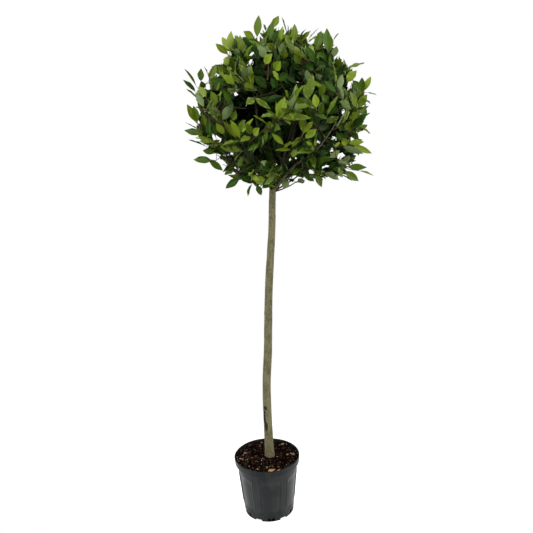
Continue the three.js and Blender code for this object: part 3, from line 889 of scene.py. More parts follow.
GROUND_FINISHES = {
    Ground.EARTH: EarthFinish(),
    Ground.DARK_CHIP: PlainFinish("chip_dark", (0.034, 0.017, 0.011), 0.85, 0.0),
    Ground.TAN_CHIP: PlainFinish("chip_tan", (0.26, 0.165, 0.115), 0.8, 0.15),
    Ground.ORANGE_CHIP: PlainFinish("chip_orange", (0.46, 0.22, 0.09), 0.75, 0.15),
    Ground.PALE_GRIT: PlainFinish("grit_pale", (0.5, 0.44, 0.37), 0.8, 0.15),
}


@dataclass(frozen=True)
class Scatter:
    """Small lumps strewn over the compost: how many, their least and greatest size and their kinds."""

    count: int
    least: float
    most: float
    kinds: tuple[Ground, ...]


SCATTERS = (
    Scatter(1300, 0.0016, 0.0062, (Ground.EARTH, Ground.EARTH, Ground.EARTH, Ground.DARK_CHIP)),
    Scatter(460, 0.0008, 0.0024, (Ground.PALE_GRIT, Ground.TAN_CHIP, Ground.TAN_CHIP, Ground.DARK_CHIP)),
)


@dataclass(frozen=True)
class Chip:
    """A chip of bark on the compost."""

    x: float
    y: float
    length: float
    width: float
    turn: float
    kind: Ground = Ground.TAN_CHIP


SEEN_CHIPS = (
    Chip(0.0123, -0.0935, 0.025, 0.014, 0.05, Ground.ORANGE_CHIP),
    Chip(0.0549, 0.0724, 0.014, 0.012, 0.2, Ground.ORANGE_CHIP),
    Chip(0.0692, -0.0018, 0.008, 0.005, 0.3, Ground.ORANGE_CHIP),
    Chip(0.0375, -0.0915, 0.01, 0.006, 1.2, Ground.ORANGE_CHIP),
    Chip(-0.0141, 0.0905, 0.012, 0.009, 0.1),
    Chip(-0.0719, 0.0198, 0.019, 0.01, 0.5),
    Chip(0.0865, 0.0018, 0.019, 0.013, -0.5),
    Chip(-0.0756, -0.0368, 0.011, 0.006, 0.4),
    Chip(-0.0492, -0.0109, 0.009, 0.006, 1.0),
    Chip(-0.0905, -0.0137, 0.009, 0.006, 0.8),
)


@dataclass
class CompostFill:
    """Compost heaped loosely in the pot, with crumbs, chips of bark and grit on top."""

    rng: np.random.Generator
    radius: float = 0.1048
    top: float = 0.1935
    stem: Span = (0.01, 0.0)
    relief: tuple[Relief, ...] = (
        Relief(0.0026, (0.022, 0.022, 1), 3),
        Relief(0.0018, (0.009, 0.009, 1), 4),
        Relief(0.0012, (0.0035, 0.0035, 1), 5),
    )
    smooth_round_stem: Span = (0.016, 0.032)
    heap_height: float = 0.0045
    heap_radius: float = 0.034
    columns: int = 150
    rings: int = 52
    axis_radius: float = 0.0006
    skirt: tuple[Span, ...] = (
        (0.1048, 0.1836),
        (0.0965, 0.174),
        (0.0785, 0.0098),
        (0.0006, 0.0098),
    )
    clear_of_stem: float = 0.021
    lump_ragged: Span = (0.7, 1.15)
    lump_stretch: Span = (0.6, 1.1)
    lump_flatness: float = 0.8
    lump_rise: float = 0.15
    chip_corners: int = 7
    chip_half: float = 0.0011
    chip_stray: float = 0.25
    chip_ragged: Span = (0.75, 1.1)
    chip_pitch: float = 0.4
    chip_roll: float = 0.3
    chip_taper: float = 0.92
    chip_crown: float = 1.3
    chip_rise: float = 0.0022
    loose_chips: int = 30
    loose_from: float = 0.026
    loose_span: float = 0.07
    loose_lengths: Span = (0.005, 0.012)
    loose_widths: Span = (0.35, 0.6)
    loose_turns: Span = (0, 3.1)
    loose_kinds: tuple[Ground, ...] = (Ground.DARK_CHIP, Ground.DARK_CHIP, Ground.TAN_CHIP)
    sharp_from: float = 50

    def __post_init__(self) -> None:
        """Starts with nothing in the pot."""
        self._stock = MeshStock()

    def _surface(self, x: Array, y: Array) -> Array:
        """Finds the height of the compost.

        Args:
            x: Places across.
            y: Places in depth.

        Returns:
            The height at each place.
        """
        relief = relief_at(np.stack([x, y, np.zeros_like(x)], -1), self.relief)
        away = np.hypot(x - self.stem[0], y - self.stem[1])
        rough = smooth_step(away, *self.smooth_round_stem)
        heap = self.heap_height * np.exp(-((away / self.heap_radius) ** 2))
        return self.top + relief * rough + heap

    def _height_at(self, x: float, y: float) -> float:
        """Returns the height of the compost at one place."""
        return float(self._surface(np.array(x), np.array(y)))

    def _add_body(self) -> None:
        """Adds the bulk of the compost, closed below."""
        turn = np.linspace(0, FULL_TURN, self.columns, endpoint=False)
        radius = np.linspace(self.axis_radius, self.radius, self.rings)
        x, y = radius[:, None] * np.cos(turn), radius[:, None] * np.sin(turn)
        top = np.stack([x, y, self._surface(x, y)], -1)
        skirt = [circle(ring_radius, turn, height) for ring_radius, height in self.skirt]
        points = np.concatenate([top, np.array(skirt)]).reshape(-1, 3)
        faces = grid_faces(self.rings + len(skirt), self.columns, closed=True)
        self._stock.add(points, faces, Ground.EARTH)

    def _add_lumps(self, scatter: Scatter) -> None:
        """Strews one kind of lumps over the compost.

        Args:
            scatter: How many lumps there are, how big and of what.
        """
        shape, faces = ball()
        for _ in range(scatter.count):
            size = scatter.least + (scatter.most - scatter.least) * self.rng.random() ** 2
            reach = (self.radius - size) * math.sqrt(self.rng.random())
            turn = self.rng.uniform(0, FULL_TURN)
            x, y = reach * math.cos(turn), reach * math.sin(turn)
            if math.hypot(x - self.stem[0], y - self.stem[1]) < self.clear_of_stem:
                continue
            rough = shape * self.rng.uniform(*self.lump_ragged, (len(shape), 1))
            rough = rough * self.rng.uniform(*self.lump_stretch, 3)
            points = rough * (size, size, size * self.lump_flatness) @ turned(self.rng)
            points += (x, y, self._height_at(x, y) + self.lump_rise * size)
            self._stock.add(points, faces, int(self.rng.choice(scatter.kinds)))

    def _add_chip(self, chip: Chip) -> None:
        """Lays a chip of bark on the compost.

        Args:
            chip: Its place, size, turn and kind.
        """
        rng, count, half = self.rng, self.chip_corners, self.chip_half
        stray, pitch, roll = self.chip_stray, self.chip_pitch, self.chip_roll
        turn = np.linspace(0, FULL_TURN, count, endpoint=False) + rng.uniform(-stray, stray, count)
        ring = np.stack([np.cos(turn) * chip.length / 2, np.sin(turn) * chip.width / 2, 0 * turn], -1)
        ring *= rng.uniform(*self.chip_ragged, (count, 1))
        caps = [(0, 0, -half), (0, 0, half * self.chip_crown)]
        points = np.concatenate([ring - (0, 0, half), ring * self.chip_taper + (0, 0, half), caps])
        tilt = Matrix.Rotation(chip.turn, 3, "Z") @ Matrix.Rotation(rng.uniform(-pitch, pitch), 3, "X")
        tilt = tilt @ Matrix.Rotation(rng.uniform(-roll, roll), 3, "Y")
        points = points @ np.array(tilt).T
        points += (chip.x, chip.y, self._height_at(chip.x, chip.y) + self.chip_rise)
        side, none = np.arange(count), np.full(count, NO_CORNER)
        beside = (side + 1) % count
        below, above = np.full(count, 2 * count), np.full(count, 2 * count + 1)
        rim = np.stack([side, beside, beside + count, side + count], 1)
        underside = np.stack([beside, side, below, none], 1)
        upper = np.stack([side + count, beside + count, above, none], 1)
        self._stock.add(points, np.concatenate([rim, underside, upper]), chip.kind)

    def _add_loose_chips(self) -> None:
        """Strews further chips of bark over the compost."""
        for _ in range(self.loose_chips):
            reach = self.loose_from + self.loose_span * math.sqrt(self.rng.random())
            turn = self.rng.uniform(0, FULL_TURN)
            length = self.rng.uniform(*self.loose_lengths)
            width, lie = length * self.rng.uniform(*self.loose_widths), self.rng.uniform(*self.loose_turns)
            kind = Ground(self.rng.choice(self.loose_kinds))
            self._add_chip(Chip(reach * math.cos(turn), reach * math.sin(turn), length, width, lie, kind))

    def build(self) -> Piece:
        """Makes the compost.

        Returns:
            The compost with all that lies on it.
        """
        self._add_body()
        for scatter in SCATTERS:
            self._add_lumps(scatter)
        for chip in SEEN_CHIPS:
            self._add_chip(chip)
        self._add_loose_chips()
        materials = [GROUND_FINISHES[kind].material() for kind in Ground]
        piece = self._stock.build("compost_fill", materials, self.sharp_from)
        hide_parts("compost")
        return piece


# The trunk


@dataclass(frozen=True)
class Knot:
    """A healed scar where a side shoot was cut from the trunk."""

    height: float
    azimuth: float
    size: float
    rise: float


KNOTS = (
    Knot(0.7, 205, 0.0065, 0.0024),
    Knot(0.52, -60, 0.006, 0.0012),
    Knot(0.93, -120, 0.0055, 0.0014),
    Knot(0.41, 150, 0.007, 0.0016),
    Knot(0.61, 70, 0.006, 0.0015),
    Knot(0.86, 30, 0.005, 0.0013),
    Knot(1.01, -35, 0.006, 0.0016),
    Knot(0.3, -110, 0.005, 0.0008),
)


@dataclass(frozen=True)
class Trunk:
    """The bare stem, with its course foot first, bark relief and healed knots."""

    heights: tuple[float, ...] = (0.188, 0.33, 0.455, 0.6, 0.775, 0.93, 1.126)
    places: tuple[float, ...] = (0.01, 0.008, 0.01, 0.021, 0.0305, 0.045, 0.058)
    top_radius: float = 0.0098
    extra_radius: float = 0.0048
    taper_power: float = 1.6
    flare: float = 0.0042
    flare_height: float = 0.02
    sunk: float = 0.006
    sides: int = 56
    rings: int = 420
    relief: tuple[Relief, ...] = (
        Relief(0.0005, (0.009, 0.009, 0.04), 21),
        Relief(0.00022, (0.0022, 0.0022, 0.007), 22),
        Relief(0.0007, (0.03, 0.03, 0.11), 23),
    )
    knot_spread: float = 2.2
    knot_dimple: float = 0.55
    knot_dimple_spread: float = 9
    dome_shares: tuple[float, ...] = (0.93, 0.72, 0.4, 0.02)
    dome_height: float = 0.006
    sharp_from: float = 60

    def middle(self, height: Array) -> Array:
        """Follows the middle of the trunk through its measured places.

        Args:
            height: Heights above the ground.

        Returns:
            The middle of the trunk at each height.
        """
        height = np.atleast_1d(np.asarray(height, float))
        knots, places = np.array(self.heights), np.array(self.places)
        slopes = np.gradient(places, knots)
        index = np.clip(np.searchsorted(knots, height) - 1, 0, len(knots) - 2)
        span = knots[index + 1] - knots[index]
        t = np.clip((height - knots[index]) / span, 0, 1)
        x = (1 + 2 * t) * (1 - t) ** 2 * places[index] + t * t * (3 - 2 * t) * places[index + 1]
        x += span * (t * (1 - t) ** 2 * slopes[index] - t * t * (1 - t) * slopes[index + 1])
        return np.stack([x, np.zeros_like(x), height], -1)

    def _radius(self, height: Array) -> Array:
        """Finds how thick the trunk is.

        Args:
            height: Heights above the ground.

        Returns:
            The radius at each height.
        """
        rise = np.asarray(height, float) - self.heights[0]
        share = np.clip(rise / (self.heights[-1] - self.heights[0]), 0, 1)
        taper = self.top_radius + self.extra_radius * (1 - share**self.taper_power)
        return taper + self.flare * np.exp(-rise / self.flare_height)

    def build(self, bark: Material) -> Piece:
        """Makes the trunk.

        Args:
            bark: Its material.

        Returns:
            The trunk, closed by a low dome at the top.
        """
        height = np.linspace(self.heights[0] - self.sunk, self.heights[-1], self.rings)
        path = self.middle(height)
        radius = self._radius(np.maximum(height, self.heights[0]))
        turn = np.linspace(0, FULL_TURN, self.sides, endpoint=False)
        around = np.stack([np.cos(turn), np.sin(turn), 0 * turn], -1)
        surface = path[:, None] + around * radius[:, None, None]
        relief = relief_at(surface, self.relief)
        for knot in KNOTS:
            apart = (turn - math.radians(knot.azimuth) + math.pi) % FULL_TURN - math.pi
            away = np.hypot(apart[None] * radius[:, None], height[:, None] - knot.height) / knot.size
            dimple = self.knot_dimple * np.exp(-(away**2) * self.knot_dimple_spread)
            relief += knot.rise * (np.exp(-(away**2) * self.knot_spread) - dimple)
        surface = path[:, None] + around * (radius[:, None] + relief)[..., None]
        top = []
        for share in self.dome_shares:
            rise = UP * self.dome_height * math.sqrt(1 - share**2)
            top.append(surface[-1] * share + path[-1] * (1 - share) + rise)
        points = np.concatenate([surface, np.array(top)]).reshape(-1, 3)
        stock = MeshStock()
        stock.add(points, grid_faces(self.rings + len(top), self.sides, closed=True))
        piece = stock.build("trunk_bark", [bark], self.sharp_from)
        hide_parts("trunk")
        return piece


# The crown


class Shade(Enum):
    """Ages of leaves, each with its own colour; the darkest ages are partly painted shade."""

    YOUNG = 0
    FRESH = 1
    GREEN = 2
    MATURE = 3
    DEEP = 4
    OLD = 5


OLDEST = len(Shade) - 1
BLADE_MIDDLE = 0.55


class Side(Enum):
    """How a leaf lies to the viewer: the turn of its blade from facing them, in degrees."""

    UPPER = 18
    HALF = 52
    EDGE = 80
    UNDER = 160


class LeafPart(IntEnum):
    """Parts of leaves that are finished apart, numbered on from the ages."""

    PALE_UNDERSIDE = 6
    YOUNG_UNDERSIDE = 7
    DIM_UNDERSIDE = 8
    PALE_RIB = 9
    DARK_RIB = 10


# DEEP and OLD are partly the darker green of old leaves and partly painted shade, dealt out deep inside and
# low in the crown
UPPER_COLOURS = {
    Shade.YOUNG: (0.175, 0.255, 0.012),
    Shade.FRESH: (0.115, 0.172, 0.007),
    Shade.GREEN: (0.094, 0.15, 0.007),
    Shade.MATURE: (0.06, 0.122, 0.007),
    Shade.DEEP: (0.03, 0.078, 0.008),
    Shade.OLD: (0.0055, 0.022, 0.0022),
}


@dataclass(frozen=True)
class LeafFinish:
    """Leathery leaves: glossy above, matt and paler below."""

    gloss: float = 0.42
    matt: float = 0.65
    shine: float = 0.14
    old_shine: float = 0.04

    def _upper(self, shade: Shade) -> PlainFinish:
        """Returns the finish of the upper side at one age."""
        shine = self.old_shine if shade in (Shade.DEEP, Shade.OLD) else self.shine
        return PlainFinish(f"leaf_{shade.name.lower()}", UPPER_COLOURS[shade], self.gloss, shine)

    def materials(self) -> list[Material]:
        """Makes the materials of the leaves.

        Returns:
            One for the upper side at each age, then one for each member of LeafPart, in order.
        """
        finishes = [
            *map(self._upper, Shade),
            PlainFinish("leaf_underside", (0.205, 0.275, 0.107), self.matt, self.shine),
            PlainFinish("leaf_underside_young", (0.26, 0.34, 0.055), self.matt, self.shine),
            # painted shade: the dark underside of older leaves stands in for the shade their undersides lie
            # in
            PlainFinish("leaf_underside_painted_shade", (0.034, 0.068, 0.018), self.matt, self.old_shine),
            PlainFinish("leaf_rib_pale", (0.22, 0.28, 0.03), self.gloss, self.shine),
            PlainFinish("leaf_rib_dark", (0.08, 0.125, 0.015), self.gloss, self.shine),
        ]
        return [finish.material() for finish in finishes]


@dataclass(frozen=True)
class Leaf:
    """One leaf: where its blade starts, how it lies, its size, its age and how it is bent and waved."""

    root: Array
    way: Array
    face: Array
    length: float
    width: float
    shade: Shade
    bend: float
    fold: float
    wave: float
    phase: float
    twist: float
    swing: float

    def middle(self) -> Array:
        """Returns the middle of the blade."""
        return self.root + self.way * (BLADE_MIDDLE * self.length)

    def tip(self) -> Array:
        """Returns the straight end of the blade."""
        return self.root + self.way * self.length


def column_of(leaves: list[Leaf], name: str) -> Array:
    """Returns one number of every leaf, as a column."""
    return np.array([getattr(leaf, name) for leaf in leaves])[:, None]


@dataclass
class LeafForm:
    """Shapes every leaf: a bent, folded and waved blade, closed by its underside."""

    stations: tuple[float, ...] = (0.0, 0.07, 0.17, 0.3, 0.44, 0.58, 0.72, 0.84, 0.94, 1.0)
    columns: tuple[float, ...] = (-1.0, -0.52, -0.06, 0.06, 0.52, 1.0)
    belly: float = 0.93
    fullness: float = 0.98
    stalk_share: float = 0.05
    ripples: float = 15
    ripple_shift: float = 2
    thickness: float = 0.0005
    edge_share: float = 0.4
    taper: Span = (0.02, 0.98)

    def __post_init__(self) -> None:
        """Lays the faces of one leaf, and tells its midrib and its underside from the rest."""
        rows, columns = len(self.stations), len(self.columns)
        upper = grid_faces(rows, columns)
        keel = rows * columns + np.arange(rows)
        left = np.arange(rows) * columns
        right = left + columns - 1
        below = [
            np.stack([left[:-1], left[1:], keel[1:], keel[:-1]], 1),
            np.stack([keel[:-1], keel[1:], right[1:], right[:-1]], 1),
        ]
        self._faces = np.concatenate([upper, *below])
        column = np.arange(len(upper)) % (columns - 1)
        self._is_rib = np.concatenate([column == columns // 2 - 1, np.zeros(2 * (rows - 1), bool)])
        self._is_under = np.arange(len(self._faces)) >= len(upper)
        self._count = rows * columns + rows

    def _half_widths(self) -> Array:
        """Returns the share of the full width at every station."""
        t = np.array(self.stations)
        return np.maximum(np.sin(math.pi * t**self.belly) ** self.fullness, self.stalk_share * (1 - t))

    def _points(self, leaves: list[Leaf]) -> Array:
        """Shapes leaves.

        Args:
            leaves: The leaves.

        Returns:
            The points of every leaf, as an array of leaves by points by 3.
        """
        stations = np.array(self.stations)
        t = stations[None]
        root, way = (np.array([getattr(leaf, name) for leaf in leaves]) for name in ("root", "way"))
        face = across_to(np.array([leaf.face for leaf in leaves]), way)
        side = np.cross(way, face)
        angle, turn, swing = (column_of(leaves, name) * t for name in ("bend", "twist", "swing"))
        step = np.diff(stations, prepend=0)[None] * column_of(leaves, "length")
        ahead = np.cumsum(step * np.cos(angle) * np.cos(swing), 1)
        drop, aside = np.cumsum(step * np.sin(angle), 1), np.cumsum(step * np.sin(swing), 1)
        spine = root[:, None] + ahead[..., None] * way[:, None] - drop[..., None] * face[:, None]
        spine = spine + aside[..., None] * side[:, None]
        level = side[:, None] * np.cos(turn)[..., None] + face[:, None] * np.sin(turn)[..., None]
        along = way[:, None] * np.cos(angle)[..., None] - face[:, None] * np.sin(angle)[..., None]
        lift = np.cross(level, along)
        half = self._half_widths()[None] * column_of(leaves, "width") / 2
        u = np.array(self.columns)[None, None]
        out = u * half[..., None]
        phase = t[..., None] * self.ripples + column_of(leaves, "phase")[..., None]
        phase = phase + self.ripple_shift * np.sign(u)
        rise = column_of(leaves, "fold")[..., None] * np.abs(out)
        rise = rise + column_of(leaves, "wave")[..., None] * np.sin(phase) * u**2
        blade = spine[:, :, None] + out[..., None] * level[:, :, None] + rise[..., None] * lift[:, :, None]
        taper = np.sin(math.pi * np.clip(stations, *self.taper))[None, :, None]
        keel = spine - lift * self.thickness * (self.edge_share + taper)
        return np.concatenate([blade.reshape(len(leaves), -1, 3), keel], 1)

    def add_to(self, stock: MeshStock, leaves: list[Leaf]) -> None:
        """Adds leaves to a stock.

        Args:
            stock: The stock.
            leaves: The leaves.
        """
        points = self._points(leaves)
        starts = np.arange(len(leaves)) * self._count
        faces = self._faces[None] + starts[:, None, None]
        shade = np.array([leaf.shade.value for leaf in leaves])[:, None]
        rib = np.where(shade <= Shade.FRESH.value, LeafPart.PALE_RIB, LeafPart.DARK_RIB)
        # older leaves get the underside of painted shade
        below = np.where(shade < Shade.MATURE.value, LeafPart.PALE_UNDERSIDE, LeafPart.DIM_UNDERSIDE)
        below = np.where(shade == Shade.YOUNG.value, LeafPart.YOUNG_UNDERSIDE, below)
        marks = np.where(self._is_rib[None], rib, shade)
        marks = np.where(self._is_under[None], below, marks)
        stock.add(points.reshape(-1, 3), faces.reshape(-1, 4), marks.ravel())


@dataclass(frozen=True)
class Mass:
    """A mass of foliage: where it points from the middle, how far it reaches, and its bough."""

    name: str
    azimuth: float
    elevation: float
    reach: float
    fork_at: float
    bough_radius: float

    def way(self) -> Array:
        """Returns the direction of the mass from the middle of the crown."""
        return direction(self.azimuth, self.elevation)


MASSES = (
    Mass("top", 90, 84, 0.26, 1.126, 0.0062),
    Mass("upper_right_front", -44, 38, 0.268, 1.113, 0.0048),
    Mass("upper_right_back", 46, 26, 0.27, 1.108, 0.0048),
    Mass("upper_left_front", -136, 36, 0.256, 1.109, 0.0048),
    Mass("upper_left_back", 134, 26, 0.258, 1.112, 0.0048),
    Mass("lower_right", 4, -14, 0.304, 1.096, 0.005),
    Mass("lower_front", -78, -18, 0.285, 1.093, 0.0046),
    Mass("lower_left_front", -148, -20, 0.306, 1.096, 0.0048),
    Mass("lower_left_back", 140, -28, 0.303, 1.093, 0.0048),
    Mass("lower_back", 70, -30, 0.285, 1.094, 0.0046),
    Mass("skirt_right", -20, -52, 0.35, 1.085, 0.0026),
)


class Wood(Enum):
    """Kinds of twig, each with its own colour."""

    OLD = 0
    YOUNG = 1
    STALK = 2
    LIMB = 3


WOOD_FINISHES = {
    Wood.OLD: PlainFinish("twig_woody", (0.03, 0.029, 0.014), 0.75, 0.1),
    Wood.YOUNG: PlainFinish("twig_young", (0.085, 0.048, 0.02), 0.6, 0.2),
    Wood.STALK: PlainFinish("stalk", (0.13, 0.13, 0.025), 0.55, 0.2),
    # limb_olive is paler than the trunk's bark: its olive colour carries painted light against the shadow of
    # the crown above
    Wood.LIMB: PlainFinish("limb_olive", (0.22, 0.2, 0.11), 0.75, 0.15),
}


@dataclass(frozen=True)
class Limb:
    """A twig: its middle line, its radii and its kind of wood."""

    path: Array
    radii: Array
    wood: Wood


@dataclass(frozen=True)
class Order:
    """One order of shoots: how many tips cover the crown, how deep they lie and the leaves on each."""

    tips: int
    setback: float
    scatter: float
    leaves: int
    leafy: float
    phase: float
    ages: tuple[float, ...]


# The third order lies deepest, and its leaves get the darkest ages, partly painted shade of the crown's
# inside
ORDERS = (
    Order(120, 0.060, 0.026, 9, 0.095, 0.0, (0.09, 0.27, 0.28, 0.22, 0.12, 0.02)),
    Order(500, 0.05, 0.05, 8, 0.078, 1.3, (0.07, 0.23, 0.28, 0.24, 0.15, 0.03)),
    Order(160, 0.12, 0.07, 8, 0.09, 2.1, (0.0, 0.0, 0.05, 0.2, 0.35, 0.4)),
)


@dataclass(frozen=True)
class SeenLeaf:
    """A leaf that can be told apart in the picture.

    It holds the pixels of its tip and root, how it lies, its age, its share of the way to the front of
    the crown and its width over its length.
    """

    tip: Pixel
    root: Pixel
    side: Side
    shade: Shade
    front: float = 0.0
    breadth: float = 0.41


UPPER, HALF, EDGE, UNDER = Side
YOUNG, FRESH, GREEN, MATURE, DEEP, OLD = Shade
